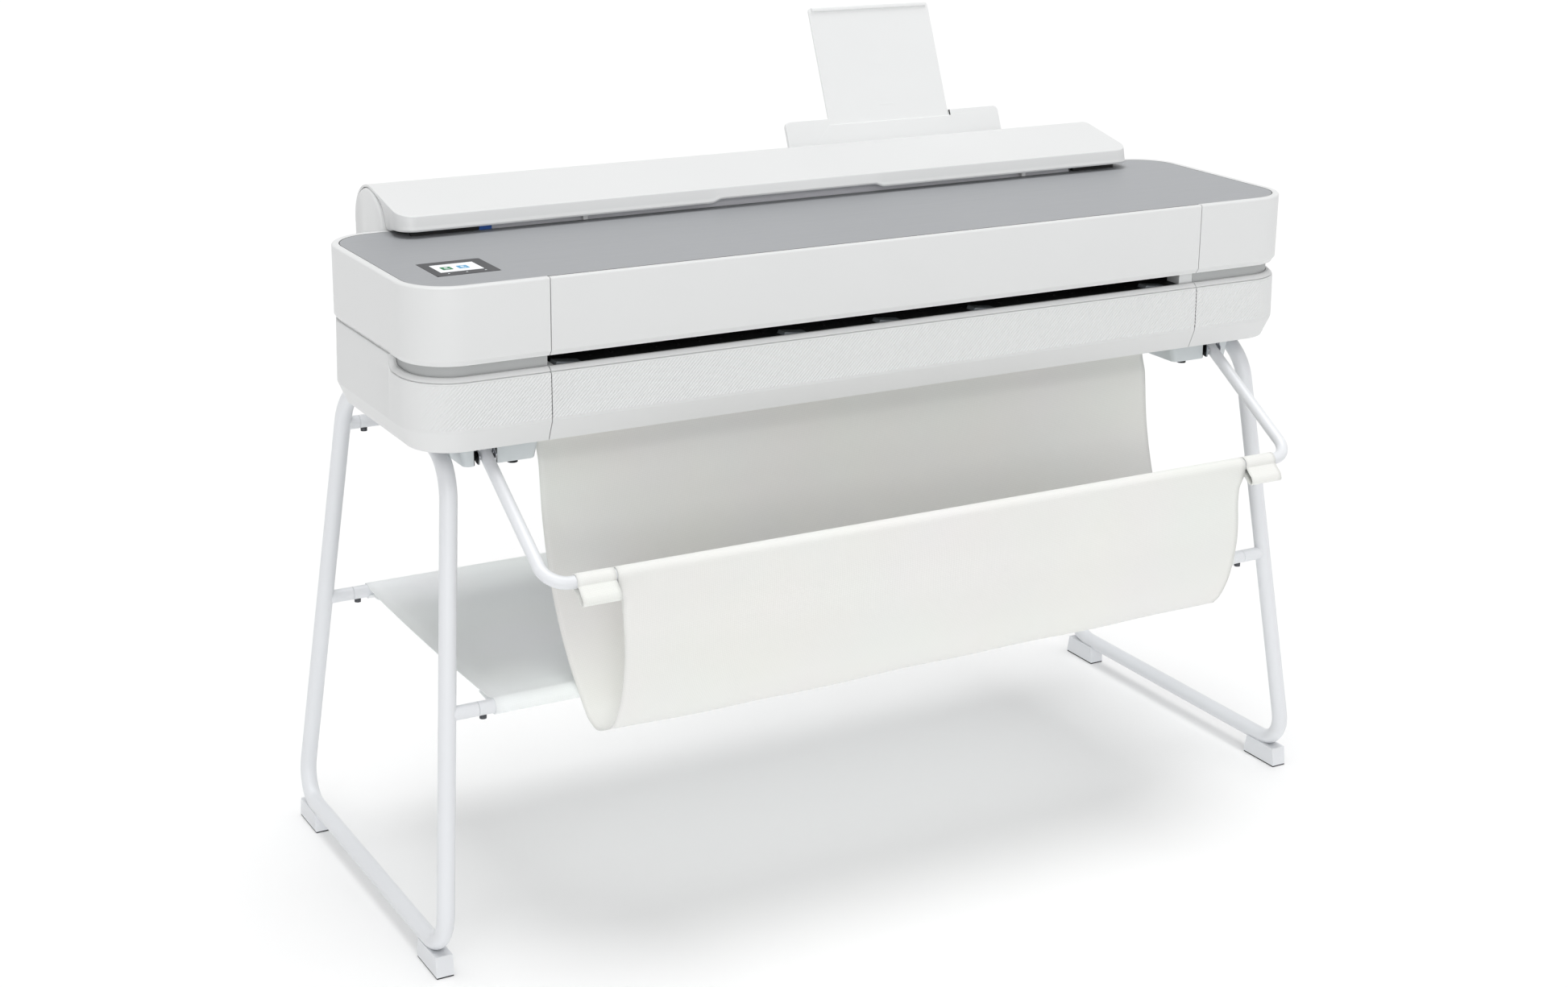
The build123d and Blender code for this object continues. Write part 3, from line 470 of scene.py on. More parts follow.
def woven(name, colour, thread, **constants):
    """Plain-woven polyester: warp and weft are two crossing waves on the cloth's own map.

    The thread is in millimetres. The real one is about 0.5 mm; it is drawn coarser so that the
    weave shows.
    """
    material, tree, shader = surface(name, colour, Roughness=0.85, Sheen_Weight=0.15, **constants)
    where = add_node(tree, "ShaderNodeUVMap", {"uv_map": "Cloth"}).outputs[0]
    scale = math.pi / 10 * 1000 / thread
    yarn = {"Vector": where, "Scale": scale, "Distortion": 0.4, "Detail": 1.0, "Detail Scale": 2.0}
    waves = []
    for direction in ("X", "Y"):
        wave = add_node(tree, "ShaderNodeTexWave", {"bands_direction": direction}, yarn)
        waves.append(wave.outputs[1])
    weave = add_node(tree, "ShaderNodeMath", {"operation": "MULTIPLY"}, {0: waves[0], 1: waves[1]})
    cloudy = {"Vector": where, "Scale": 6.0, "Detail": 3.0}
    slow = add_node(tree, "ShaderNodeTexNoise", inputs=cloudy)
    dark = tuple(c * 0.93 for c in colour[:3]) + (1,)
    threads = {0: weave.outputs[0], 6: dark, 7: (*colour[:3], 1)}
    thread_tone = add_node(tree, "ShaderNodeMix", {"data_type": "RGBA"}, threads)
    tone = add_node(
        tree,
        "ShaderNodeMix",
        {"data_type": "RGBA", "blend_type": "MULTIPLY"},
        {0: 0.05, 6: thread_tone.outputs[2], 7: slow.outputs[1]},
    )
    tree.links.new(tone.outputs[2], shader.inputs["Base Color"])
    bump = add_node(
        tree,
        "ShaderNodeBump",
        inputs={"Height": weave.outputs[0], "Distance": 0.0002, "Strength": 0.5},
    )
    tree.links.new(bump.outputs[0], shader.inputs["Normal"])
    return material


def make_materials():
    """Every finish of the plotter, under the name of what the real one is made of."""
    tones = bpy.context.scene.plotter_colours
    found = {}
    # ABS with a fine satin grain: soft wide highlights, no mirror image.
    satin = {"grain": 0.9, "relief": 0.010, "roughness": 0.36}
    found["shell"] = moulded("abs_white_satin", tones.shell, **satin, Specular_IOR_Level=0.4)
    # The feeder is the same ABS as the shell, drawn brighter: painted light.
    found["feeder"] = moulded("abs_white_satin_painted_light", tones.feeder, **satin)
    # The same ABS, duller, for the ribbed mouldings and recesses: almost no highlight. In the
    # recesses it is drawn darker than the shell: painted shade.
    found["fascia"] = moulded("abs_white_matt", tones.fascia, 0.8, 0.014, 0.5)
    found["recess"] = moulded("abs_white_painted_recess_shade", linear("#dcdede"), 0.8, 0.012, 0.45)
    # The waist channels are the same white ABS, drawn grey: painted shade of their deep recess.
    found["channel"] = moulded("abs_white_painted_waist_shade", linear("#aeb0b0"), 0.8, 0.012, 0.5)
    found["bracket"] = moulded("abs_pale_blue_grey", tones.bracket, 0.8, 0.012, 0.42)
    found["hub"] = moulded("abs_blue", tones.hub, 0.8, 0.012, 0.4)
    # Glass-filled nylon and ABS in black: a dusty, open grain that swallows light. The same black
    # also lines the bracket pockets and marks the feeder's notch as painted shade.
    found["black"] = moulded("abs_black_matt_and_painted_shade", linear("#0b0b0c"), 0.7, 0.02, 0.6, cloud=0.1)
    # Turned acetal: waxy, with a low even sheen. The ramp wedges in the slot take the same grey as
    # painted shade.
    found["grey"] = moulded("acetal_grey_and_ramp_shade", linear("#6d7276"), 0.8, 0.01, 0.4)
    # Acrylic printed dark on its back: even, without grain.
    dull = {"Specular_IOR_Level": 0.15}
    found["bezel"] = moulded("pmma_dark_grey", tones.bezel, 2.0, 0.001, 0.4, **dull)
    # Ink seen through polypropylene: near black, under a smoother skin.
    tank = linear("#26262b")
    found["ink"] = moulded("polypropylene_ink_tank", tank, 1.2, 0.006, 0.25, cloud=0.05)
    # Soft nitrile rubber: matt, slightly uneven.
    found["rubber"] = moulded("nitrile_rubber", linear("#17181a"), 0.6, 0.03, 0.8, cloud=0.08)
    # Polyester powder coat: a shallow orange peel about 1.5 mm across and a soft gloss.
    found["powder"] = moulded("powder_coat_white", tones.frame, 1.6, 0.012, 0.34, cloud=0.015)
    # Coated plotter paper: smooth, matt, faintly cool.
    found["paper"] = moulded("coated_paper", tones.paper, 0.5, 0.006, 0.75, cloud=0.008)
    # Painted aluminium sheet for the deck: rolled lines under a satin lacquer.
    lacquer = {"Specular_IOR_Level": 0.2}
    found["deck"] = sheet_metal("aluminium_satin_lacquer", tones.deck, 0.45, 0.6, **lacquer)
    # Bare steels: zinc gives a grey satin, chrome a near mirror, black zinc a dark sheen.
    found["steel"] = sheet_metal("steel_zinc_plated", linear("#a9abae"), 0.32, 0.5, Metallic=1.0)
    found["chrome"] = sheet_metal("steel_chromed", linear("#c4c6ca"), 0.1, 0.4, Metallic=1.0)
    found["bolt"] = sheet_metal("steel_black_zinc", linear("#55565a"), 0.35, 0.5, Metallic=1.0)
    # Woven glass and epoxy under green lacquer: glossy and blotchy.
    found["circuit"] = moulded("glass_epoxy_board", linear("#1c5a36"), 1.5, 0.02, 0.3, cloud=0.15)
    # Polyester cloth: no gloss, and a faint net of threads.
    found["cloth"] = woven("polyester_plain_weave", tones.cloth, 1.8)
    # The shelf's cloth glows a little of its own: painted light that lifts the shade under the
    # body.
    glow = {"Emission_Color": linear("#f3f5f5"), "Emission_Strength": 0.14}
    found["shelf"] = woven("polyester_plain_weave_shelf_painted_glow", tones.shelf, 1.8, **glow)
    # The lit display: an even white panel with printed tiles behind matt glass.
    tiles = {
        "screen": "#e2e4e6",
        "mark": "#e8eef0",
        "icon_blue": "#4f93bb",
        "icon_green": "#0b6b3e",
    }
    for name, code in tiles.items():
        lit = {"Emission_Color": linear(code), "Emission_Strength": 0.25, "Specular_IOR_Level": 0.1}
        found[name] = moulded(f"display_{name}", linear(code), 2.0, 0.0005, 0.4, **lit)
    return found


# ---- casings ------------------------------------------------------------------------------
def end_plan():
    """The plan round the right end from its rear seam to its front seam.

    A straight run, a quarter circle, a run, a quarter circle, a run. Gives points and normals.
    """
    a = np.linspace(math.pi / 2, 0, 17)
    rear = np.stack([np.cos(a), np.sin(a)], 1)
    front = np.stack([np.cos(a[::-1]), -np.sin(a[::-1])], 1)
    seam, bend = SEAM + SEAM_GAP, HALF_WIDTH - CORNER
    sides = np.array([DEPTH - CORNER - 40, 180, WAIST_DEPTH + 0.15, WAIST_DEPTH - 0.15])
    sides = np.r_[sides, np.linspace(96, 85, 12), 76]
    points = np.vstack(
        [
            [[seam, DEPTH]],
            np.array([bend, DEPTH - CORNER]) + CORNER * rear,
            np.stack([np.full(len(sides), HALF_WIDTH), sides], 1),
            np.array([bend, CORNER]) + CORNER * front,
            [[seam, 0]],
        ]
    )
    flat = np.tile([1.0, 0.0], (len(sides), 1))
    normals = np.vstack([[[0, 1]], rear, flat, front, [[0, -1]]])
    return points, normals


def carried(points, normals, profiles):
    """Carries a profile of (inset, height), or one for each place, round a plan: every point moves
    in by the inset along its normal."""
    inset, height = profiles[..., 0:1], profiles[..., 1:2]
    flat = points[:, None] - inset * normals[:, None]
    return solid(np.concatenate([flat, np.broadcast_to(height, (*flat.shape[:2], 1))], 2))


UPPER_FOOT = [(4.4, 760.8), (4.4, 762), (0, 767.6)]
LOWER_FRONT = [(12, 653), (0.5, 680), (1.7, 740), (5, 740.2), (5, 741.2), (2.2, 741.5), (8, 746.5)]
LOWER_FRONT += [(11.5, 746.5), (11.5, 741), (7.5, 738), (4, 680), (15.5, 653)]
LOWER_RADII = [0.5, 4, 0.3, 0.1, 0.1, 0.4, 0.8, 0.3, 0.2, 0.5, 1, 0.5]


def upper_cap():
    """The upper casing round one end; its foot is bevelled, with a narrow upright land below."""
    points, normals = end_plan()
    corners = UPPER_FOOT + [(0, 857), (9.3, 857), (9.3, 853.5), (60, 853.5), (60, 850), (3.5, 850)]
    corners += [(3.5, 771), (7, 764), (9, 762.6), (9, 760.8)]
    radii = [0.3, 0.8, 2.5, 2.8, 0.8, 0.2, 0.1, 0.1, 0.1, 1, 0.5, 0.2, 0.3]
    return carried(points, normals, fillet(corners, radii, steps=5))


def lower_cap():
    """The lower casing round one end; its ledge and parting groove rise in a quarter circle to
    close the waist, and behind that a plain wall goes up to the upper casing."""
    points, normals = end_plan()
    profile = fillet(LOWER_FRONT, LOWER_RADII, steps=4)
    plain = [(12, 653), (0.5, 680), (1.7, 740), (1.8, 745), (1.9, 750), (2, 755), (2.1, 760.5)]
    plain += [(5.6, 760.5), (5.6, 750), (5.5, 738), (4, 680), (15.5, 653)]
    behind = fillet(plain, LOWER_RADII, steps=4)
    t = np.clip((points[:, 1] - 85) / 12, 0, 1)
    rise = (12 * (1 - np.sqrt(1 - t * t)))[:, None]
    lifted = np.broadcast_to(profile, (len(points), *profile.shape)).copy()
    lifted[:, :, 1] += rise * (profile[:, 1] > 739)[None]
    front = (points[:, 1] < WAIST_DEPTH)[:, None, None]
    return carried(points, normals, np.where(front, lifted, behind))


def straight(corners, radii, steps=5):
    """The same kind of section carried straight along the centre."""
    section = fillet(corners, radii, steps)
    return prism(section, -SEAM + SEAM_GAP, SEAM - SEAM_GAP)


def front_panel():
    """The lifting front panel: rounded head that forms the rim, flat front, bevelled foot."""
    corners = UPPER_FOOT + [(0, 856.9), (9.1, 856.9), (9.1, 850.6), (3.5, 849), (3.5, 771)]
    corners += [(7, 764), (8, 762.6), (8, 760.8)]
    return straight(corners, [0.3, 0.8, 2.5, 2.8, 2.6, 1.5, 0.5, 1, 0.5, 0.2, 0.3])


def lower_front():
    """The lower casing's centre, on the same section as its ends."""
    return straight(LOWER_FRONT, LOWER_RADII, 4)


def ribbed(low, high, slant, where, fade, rows):
    """A panel of slanted ribs: along x (or round the corner) the relief repeats every pitch, and a
    rib moves on by one millimetre for each millimetre of height. A rib that would start before the
    panel's end is cut at the height where it comes in, or where it goes out."""
    sizes = bpy.context.scene.plotter_sizes
    pitch, height = sizes.rib_pitch * 1000, sizes.rib_height * 1000
    bottom, span, cuts = 684.0, 54.0, 6
    count = int((high - low + span) / pitch)
    start = low if slant < 0 else low - span
    s = start + np.arange(count * cuts + 1) * pitch / cuts
    wave = np.array([0.04, 0.45, 0.9, 1.0, 0.9, 0.45])
    relief = np.r_[np.tile(wave, count), wave[0]] * height
    if slant > 0:
        enter, leave = np.maximum(low - s, 0), np.maximum(s - high + span, 0)
    else:
        enter, leave = np.maximum(s - high, 0), np.maximum(low + span - s, 0)
    share = np.linspace(0, 1, rows)[None]
    z = (bottom + enter)[:, None] + (span - enter - leave)[:, None] * share
    u = np.clip(s[:, None] + slant * (z - bottom), low, high)
    outer = where(u, z, relief[:, None] * fade(u) + 0.03)
    inner = where(u[:, ::-1], z[:, ::-1], np.full_like(u, -0.8))
    return solid(np.concatenate([outer, inner], 1))


def fascia_inset(z):
    """The lower casing leans back by 1.2 mm over the 60.4 mm above its chamfer."""
    return 0.5 + (z - 680) * 1.2 / 60.4


def flat_fascia(u, z, out):
    """A place on the flat front: x itself, and the fascia's depth less how far it stands out."""
    return np.stack([u, fascia_inset(z) - out, z], -1)


def round_fascia(u, z, out):
    """A place on the right end: u runs along the front from the seam, then turns with the corner
    by one radius for each radian."""
    a = np.maximum(u - CAP_RUN, 0) / CORNER
    r = CORNER - fascia_inset(z) + out
    x = SEAM + SEAM_GAP + np.minimum(u, CAP_RUN) + r * np.sin(a)
    return np.stack([x, CORNER - r * np.cos(a), z], -1)


# Places along x of the guides in the output slot.
RAMPS = (-459, -145, -4, 142, 424)


class PLOTTER_OT_casings(bpy.types.Operator):
    """Upper and lower casings, the lifting front panel and the slanted ribs"""

    bl_idname = "plotter.casings"
    bl_label = "Casings"

    def execute(self, context):
        edge = context.scene.plotter_sizes.edge_radius
        caps = {"upper": (upper_cap(), "shell"), "lower": (lower_cap(), "fascia")}
        for level, (chunk, finish) in caps.items():
            for side, part in (("right", chunk), ("left", mirrored(chunk))):
                build(f"{level}_end_{side}", [part], finish, "printer", [f"{level}_casing_{side}"])
        build("front_panel", [front_panel()], "shell", "front_window", ["front_window"])
        build("lower_front", [lower_front()], "fascia", "printer", ["lower_casing_centre"])
        softened("upper_casing_centre", "shell", edge * 500)
        half = SEAM - SEAM_GAP
        whole = ribbed(-half, half, 1, flat_fascia, np.ones_like, 2)
        build("ribs_centre", [whole], "fascia", "printer", angle=60, slot="fascia")

        def fade(u):
            """The ribs die out over 62 mm round the corner."""
            return 1 - smoothstep((u - CAP_RUN - 12) / 62)

        for side, slant in (("right", 1), ("left", -1)):
            part = ribbed(0.0, CAP_RUN + 74, slant, round_fascia, fade, 16)
            part = part if slant > 0 else mirrored(part)
            build(f"ribs_{side}", [part], "fascia", "printer", angle=60, slot="fascia")
        lining = [(8.8, 745.3), (37, 745.6), (39.4, 746), (39.4, 766), (38, 766), (38, 748)]
        lining += [(36.6, 747.2), (8.8, 746.2)]
        block = [(12.5, 745.3), (39, 745.3), (39, 760.3), (12.5, 760.3)]
        ends = [prism(lining, -486.2, -479.1), prism(block, 464.5, 487.2)]
        # The slot's end pieces take the recess finish: white ABS a little darker, as painted shade.
        build("slot_ends", ends, "recess", "printer", bevel=0.0003, slot="fascia")
        # Painted shade: the waist channels take the grey channel finish for the shade in their
        # depth.
        dress("channel", "waist_channels")
        dress("black", "platen")
        # The ramp wedges are drawn mid grey: painted shade inside the slot.
        wedges = []
        for x in RAMPS:
            side = [(x - 18, 744.6), (x - 15.5, 749.2), (x + 18, 745.2), (x + 18, 744.6)]
            wedges.append(prism(side, 13, 30, "y"))
        build("ramp_wedges", wedges, "grey", "printer", ["sheet_ramps"])
        dress("steel", "base_pan")
        return {"FINISHED"}


# ---- deck and display ---------------------------------------------------------------------
def plate(x0, x1, y0, y1, z0, z1, radius, edge=0.0):
    """A flat rounded plate; edge is the height of a chamfer round its top."""
    outline = np.array([(x0, y0), (x1, y0), (x1, y1), (x0, y1)])
    rows = []
    for z, inset in ((z0, 0), (z1 - edge, 0), (z1, edge)):
        corners = outline + np.array([(1, 1), (-1, 1), (-1, -1), (1, -1)]) * inset
        flat = fillet(corners, max(radius - inset, 0.01), 5)
        rows.append(np.concatenate([flat, np.full((len(flat), 1), z)], 1))
    return solid(rows)


class PLOTTER_OT_deck(bpy.types.Operator):
    """Deck plate, display with its touch marks, and the guide blocks of the paper slot"""

    bl_idname = "plotter.deck"
    bl_label = "Deck and display"

    def execute(self, context):
        dress("deck", "deck_plate")
        dress("screen", "display_screen")
        softened("display_bezel", "bezel", 0.5)
        top = 856.85
        for name, x in (("green", -578.7), ("blue", -557.6)):
            icon = plate(x - 6.6, x + 6.6, 91.5, 106.5, top, top + 0.12, 1.2)
            build(f"display_icon_{name}", [icon], f"icon_{name}", "printer", slot="screen")
            signs = [plate(x - 2.2, x + 2.2, 100, 103, top + 0.1, top + 0.2, 0.8)]
            for y, w in ((96, 3.6), (94, 2.4)):
                signs.append(plate(x - w, x + w, y, y + 0.7, top + 0.1, top + 0.2, 0.3))
            build(f"display_sign_{name}", signs, "mark", "printer", slot="screen")
        places = (-586, -563, -539)
        marks = [plate(x - 1.3, x + 1.3, 71.2, 72.6, top, top + 0.17, 0.6) for x in places]
        build("touch_marks", marks, "mark", "printer", slot="bezel")
        seal = np.array([(9.42, 853.6), (10, 853.6), (10, 856.5), (9.42, 856.5)])
        end = carried(*end_plan(), seal)
        seals = [end, mirrored(end), prism(seal, -SEAM, SEAM)]
        build("rim_seal", seals, "black", "printer", slot="black_plastic")
        low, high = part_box("loading_guide")
        y0, y1 = [(v - FRONT) * 1000 for v in (low.y, high.y)]
        z0, z1 = low.z * 1000, high.z * 1000
        ends = [plate(a, b, y0, y1, z0, z1, 1, 0.5) for a, b in ((-551, -458.6), (478, 551))]
        stop = plate(-458.4, -441, y0, y1, z0, z1, 1, 0.5)
        build("guide_blocks", ends, "black", "printer", ["loading_guide"])
        build("side_stop", [stop], "hub", "printer", ["loading_guide"], slot="hub_blue")
        return {"FINISHED"}


# ---- roll housing -------------------------------------------------------------------------
def end_wall():
    """The right end wall of the roll housing: a round-headed slab with a bright chamfer on its
    outer edge and the spindle's bearing in its inner face."""
    cy, cz = ROLL_AXIS

    def outline(inset):
        arc = np.linspace(0, math.pi, 49)
        r = 49.2 - inset
        head = np.stack([cy + r * np.cos(arc), cz + r * np.sin(arc)], 1)
        low = 700 + inset
        foot = fillet([(cy - r, cz), (cy - r, low), (cy + r, low), (cy + r, cz)], 3, 6, False)
        return np.vstack([head, foot[1:-1]])

    rows = [(573, 2.6), (572.4, 1.7), (570.4, 0.2), (569.8, 0), (556.6, 0), (556, 0.6)]
    loops = [np.column_stack([np.full(len(outline(i)), x), outline(i)]) for x, i in rows]
    direction = outline(0) - np.array(ROLL_AXIS)
    direction /= np.linalg.norm(direction, axis=1, keepdims=True)
    for x in (556, 569):
        circle = np.array(ROLL_AXIS) + 8.05 * direction
        loops.append(np.column_stack([np.full(len(circle), x), circle]))
    return solid(loops)


class PLOTTER_OT_roll_housing(bpy.types.Operator):
    """End walls, the casing behind the body and its sockets"""

    bl_idname = "plotter.roll_housing"
    bl_label = "Roll housing"

    def execute(self, context):
        wall = end_wall()
        for side, part in (("right", wall), ("left", mirrored(wall))):
            build(f"end_wall_{side}", [part], "shell", "printer", [f"roll_end_{side}"])
        softened("rear_casing", "shell", 0.8)
        softened("power_inlet", "black", 0.3)
        softened("io_panel", "black", 0.3)
        dress("chrome", "hinge_pins")
        return {"FINISHED"}


# ---- roll cover ---------------------------------------------------------------------------
COVER_FRONT = 276.0
COVER_OUTER = 53.2
COVER_INNER = 50.0
COVER_SLOPE = math.radians(12)


def on_fall(radius, depth):
    """Height of the cover's flat fall at a depth, for its outer or inner radius."""
    cy, cz = ROLL_AXIS
    y = cy - radius * math.sin(COVER_SLOPE)
    z = cz + radius * math.cos(COVER_SLOPE)
    return z - (y - depth) * math.tan(COVER_SLOPE)


def cover_shell():
    """The cover's section carried along x: an arc over the roll, a flat fall and a deep lip.

    At each end the front follows a quarter circle in plan, so the lip moves back by s and its upper
    edge climbs the fall by s tan(slope). Over the finger recess the lip's lower edge is lifted.
    """
    turn = np.linspace(math.radians(-5), math.pi / 2 + COVER_SLOPE, 40)
    circle = np.stack([np.cos(turn), np.sin(turn)], 1)
    outer = np.array(ROLL_AXIS) + COVER_OUTER * circle
    inner = np.array(ROLL_AXIS) + COVER_INNER * circle[::-1]
    lip_back = COVER_FRONT + 9
    corners = [
        outer[-1],
        (COVER_FRONT, on_fall(COVER_OUTER, COVER_FRONT)),
        (COVER_FRONT - 3.8, 871.4),
        (COVER_FRONT - 5.6, 867.4),
        (COVER_FRONT - 4.2, 865),
        (lip_back, 865),
        (lip_back, on_fall(COVER_INNER, lip_back)),
        inner[0],
    ]
    lip = fillet(corners, [1, 2.4, 1.2, 1.4, 0.8, 0.6, 2, 1], 5, False)
    section = np.vstack([outer[:-1], lip, inner[1:]])
    front = np.zeros(len(section))
    front[len(outer) : len(outer) + len(lip) - 2] = 1
    low = (section[:, 1] < 873) & (section[:, 0] < 300)
    a = np.linspace(0, math.pi / 2, 13)
    corner = 24.0
    bend = 547 + corner * np.sin(a)
    middle = [-130, -127, -117, -114, 126, 129, 139, 142]
    x = np.r_[-bend[::-1], middle, bend]
    back = corner * (1 - np.cos(a))
    shift = np.r_[back[::-1], np.zeros(len(middle)), back]
    lift = np.r_[np.zeros(13), 0, 0.4, 6.6, 7, 7, 6.6, 0.4, 0, np.zeros(13)]
    on_slope = front * (section[:, 1] > 875)
    y = section[None, :, 0] + shift[:, None] * front
    z = section[None, :, 1] + shift[:, None] * on_slope * math.tan(COVER_SLOPE)
    z = z + lift[:, None] * low[None] * (1 - 0.35 * (section[None, :, 0] < COVER_FRONT + 1))
    return solid(np.stack([np.broadcast_to(x[:, None], y.shape), y, z], -1))


def cover_cheek():
    """The hollow web between the lip's corner and the end wall.

    Along depth it spans from the fall down to the lip's foot or to the end wall's circle, and it is
    drawn in by up to 5 mm towards its lower edge, fading out where it meets the wall.
    """
    cy, cz = ROLL_AXIS
    y = np.linspace(299.5, 377, 40)[:, None]
    t = np.linspace(0, 1, 18)[None]
    top = on_fall(COVER_OUTER, y) - 1.2
    foot = np.interp(y, [299, 322, 339, 340], [865, 859, 858, 858])
    circle = cz + np.sqrt(np.maximum(50.2**2 - (cy - y) ** 2, 0))
    bottom = np.minimum(np.maximum(foot, np.where(y > 338.4, circle, 0)), top - 0.4)
    z = top + (bottom - top) * t
    hollow = smoothstep((y - 299) / 24) * (1 - smoothstep((y - 336) / 41))
    x = 570.6 - 4.5 * hollow * t**1.3
    grid = np.stack([np.broadcast_to(x, z.shape), np.broadcast_to(y, z.shape), z], -1)
    back = grid.copy()
    back[..., 0] -= 1.6
    return solid(np.concatenate([grid, back[:, ::-1]], 1))


class PLOTTER_OT_roll_cover(bpy.types.Operator):
    """The hinged cover over the roll with its cheeks, lugs and ears"""

    bl_idname = "plotter.roll_cover"
    bl_label = "Roll cover"

    def execute(self, context):
        cover = ("shell", "roll_cover", ["roll_cover"])
        cheek = cover_cheek()
        build("roll_cover_shell", [cover_shell()], *cover, angle=30)
        build("roll_cover_cheeks", [cheek, mirrored(cheek)], *cover)
        ear = [(434, 879), (462, 876.5), (470, 880), (470, 890), (462, 893.5), (430, 893)]
        ear = fillet(ear, 5, 6)
        lug = [(438.6, 851), (441.4, 851), (452, 846), (453.6, 843), (449, 838.6), (445, 843)]
        lug = fillet(lug, 0.6, 4)
        parts = [prism(ear, a, b) for a, b in ((89, 96.8), (468.2, 476))]
        parts += [prism(lug, a, a + 10) for a in (-530.6, 520.6)]
        parts += [plate(a - 3.5, a + 3.5, 282, 288.5, 857.6, 866, 1) for a in (-311, 386)]
        build("roll_cover_lugs", parts, *cover, bevel=0.0004)
        return {"FINISHED"}


# ---- sheet feeder -------------------------------------------------------------------------
def leaning(chunk):
    """Turns a piece drawn upright about the feeder's pivot into its leaning plane."""
    points, faces, uv = chunk
    c, s = math.cos(FEEDER_LEAN), math.sin(FEEDER_LEAN)
    y = FEEDER_PIVOT[0] + points[:, 1] * c + points[:, 2] * s
    z = FEEDER_PIVOT[1] - points[:, 1] * s + points[:, 2] * c
    return np.stack([points[:, 0], y, z], 1), faces, uv


def drawn_in(outline, amount):
    """Moves every edge of an anticlockwise outline inwards: each corner goes along the sum of its
    two edge normals, over one plus their cosine."""
    p = np.asarray(outline, float)
    run = np.roll(p, -1, 0) - p
    run /= np.linalg.norm(run, axis=1, keepdims=True)
    after = np.stack([-run[:, 1], run[:, 0]], 1)
    before = np.roll(after, 1, 0)
    return p + amount * (before + after) / (1 + (before * after).sum(1, keepdims=True))


def leaf(outline, radii, rows):
    """An upright plate from an outline of (x, height): each row is a depth and an inset."""
    loops = []
    for w, inset in rows:
        flat = fillet(drawn_in(outline, inset), np.maximum(np.array(radii) - inset, 0.05), 8)
        loops.append(np.stack([flat[:, 0], np.full(len(flat), w), flat[:, 1]], 1))
    return solid(loops)


def board(x0, x1, v0, v1, front, back, radii, edge):
    """A plain rectangular leaf with its front and back edges broken."""
    rows = [(front, edge), (front + edge, 0), (back - edge, 0), (back, edge)]
    return leaf([(x0, v0), (x1, v0), (x1, v1), (x0, v1)], radii, rows)


class PLOTTER_OT_sheet_feeder(bpy.types.Operator):
    """The folding paper support and its pull-out leaf"""

    bl_idname = "plotter.sheet_feeder"
    bl_label = "Sheet feeder"

    def execute(self, context):
        x0, x1, low, high = 97.2, 467.8, -38.0, 45.0
        a, b = 170.7, 379.3
        whole = [(x0, low), (x1, low), (x1, high), (x0, high)]
        notched = [*whole[:3], (b, high), (b, high - 9), (a, high - 9), (a, high), whole[3]]
        radii = (8, 8, 8, 0.6, 3, 3, 0.6, 8)
        first = [(x0, low), (a, low), (a, high), (x0, high)]
        last = [(b, low), (x1, low), (x1, high), (b, high)]
        core = [(-1.7, 0), (1.7, 0)]
        parts = [
            leaf(notched, radii, [(-3.25, 0.8), (-2.9, 0.2), (-2.5, 0), (-1.7, 0)]),
            leaf(whole, (8, 8, 8, 8), [(1.7, 0), (2.5, 0), (2.9, 0.2), (3.25, 0.8)]),
            leaf(first, (8, 0.1, 0.1, 8), core),
            leaf(last, (0.1, 8, 8, 0.1), core),
        ]
        for p, q in ((x0 - 5.5, x0 + 1), (x1 - 1, x1 + 5.5)):
            parts.append(lathe_x([(p, 2.4), (q, 2.4)], 0, 0, 20))
        lean = [leaning(c) for c in parts]
        build("feeder_support", lean, "feeder", "feeder_flap", ["feeder_flap"], angle=20)
        left, right, foot, top = 171.0, 379.0, 10.0, 213.0
        leaf_parts = [board(left, right, foot, top, -1.5, 1.5, (1, 1, 6, 6), 0.6)]
        rim = [(-1.4, top - 7), (-4.0, top - 6), (-4.0, top - 1.6), (-1.4, top - 0.6)]
        rim = fillet(rim, [0.1, 1, 1, 0.1], 4)
        leaf_parts.append(prism(rim, left + 5, right - 5))
        for v in (122, 60):
            leaf_parts.append(board(264, 286, v, v + 2.2, -1.62, -1.2, (1, 1, 1, 1), 0.1))
        lean = [leaning(c) for c in leaf_parts]
        build("feeder_leaf", lean, "feeder", "feeder_extension", ["feeder_extension"], angle=20)
        # A black strip at the notch's right end: painted shade of the gap where the leaf meets the
        # flap.
        notch_shade = board(379.4, 381.4, high - 9, high - 1, -3.6, -2.2, (0.3, 0.3, 0.3, 0.3), 0.2)
        build("leaf_notch_shade", [leaning(notch_shade)], "black", "feeder_flap", slot="black_plastic")
        return {"FINISHED"}


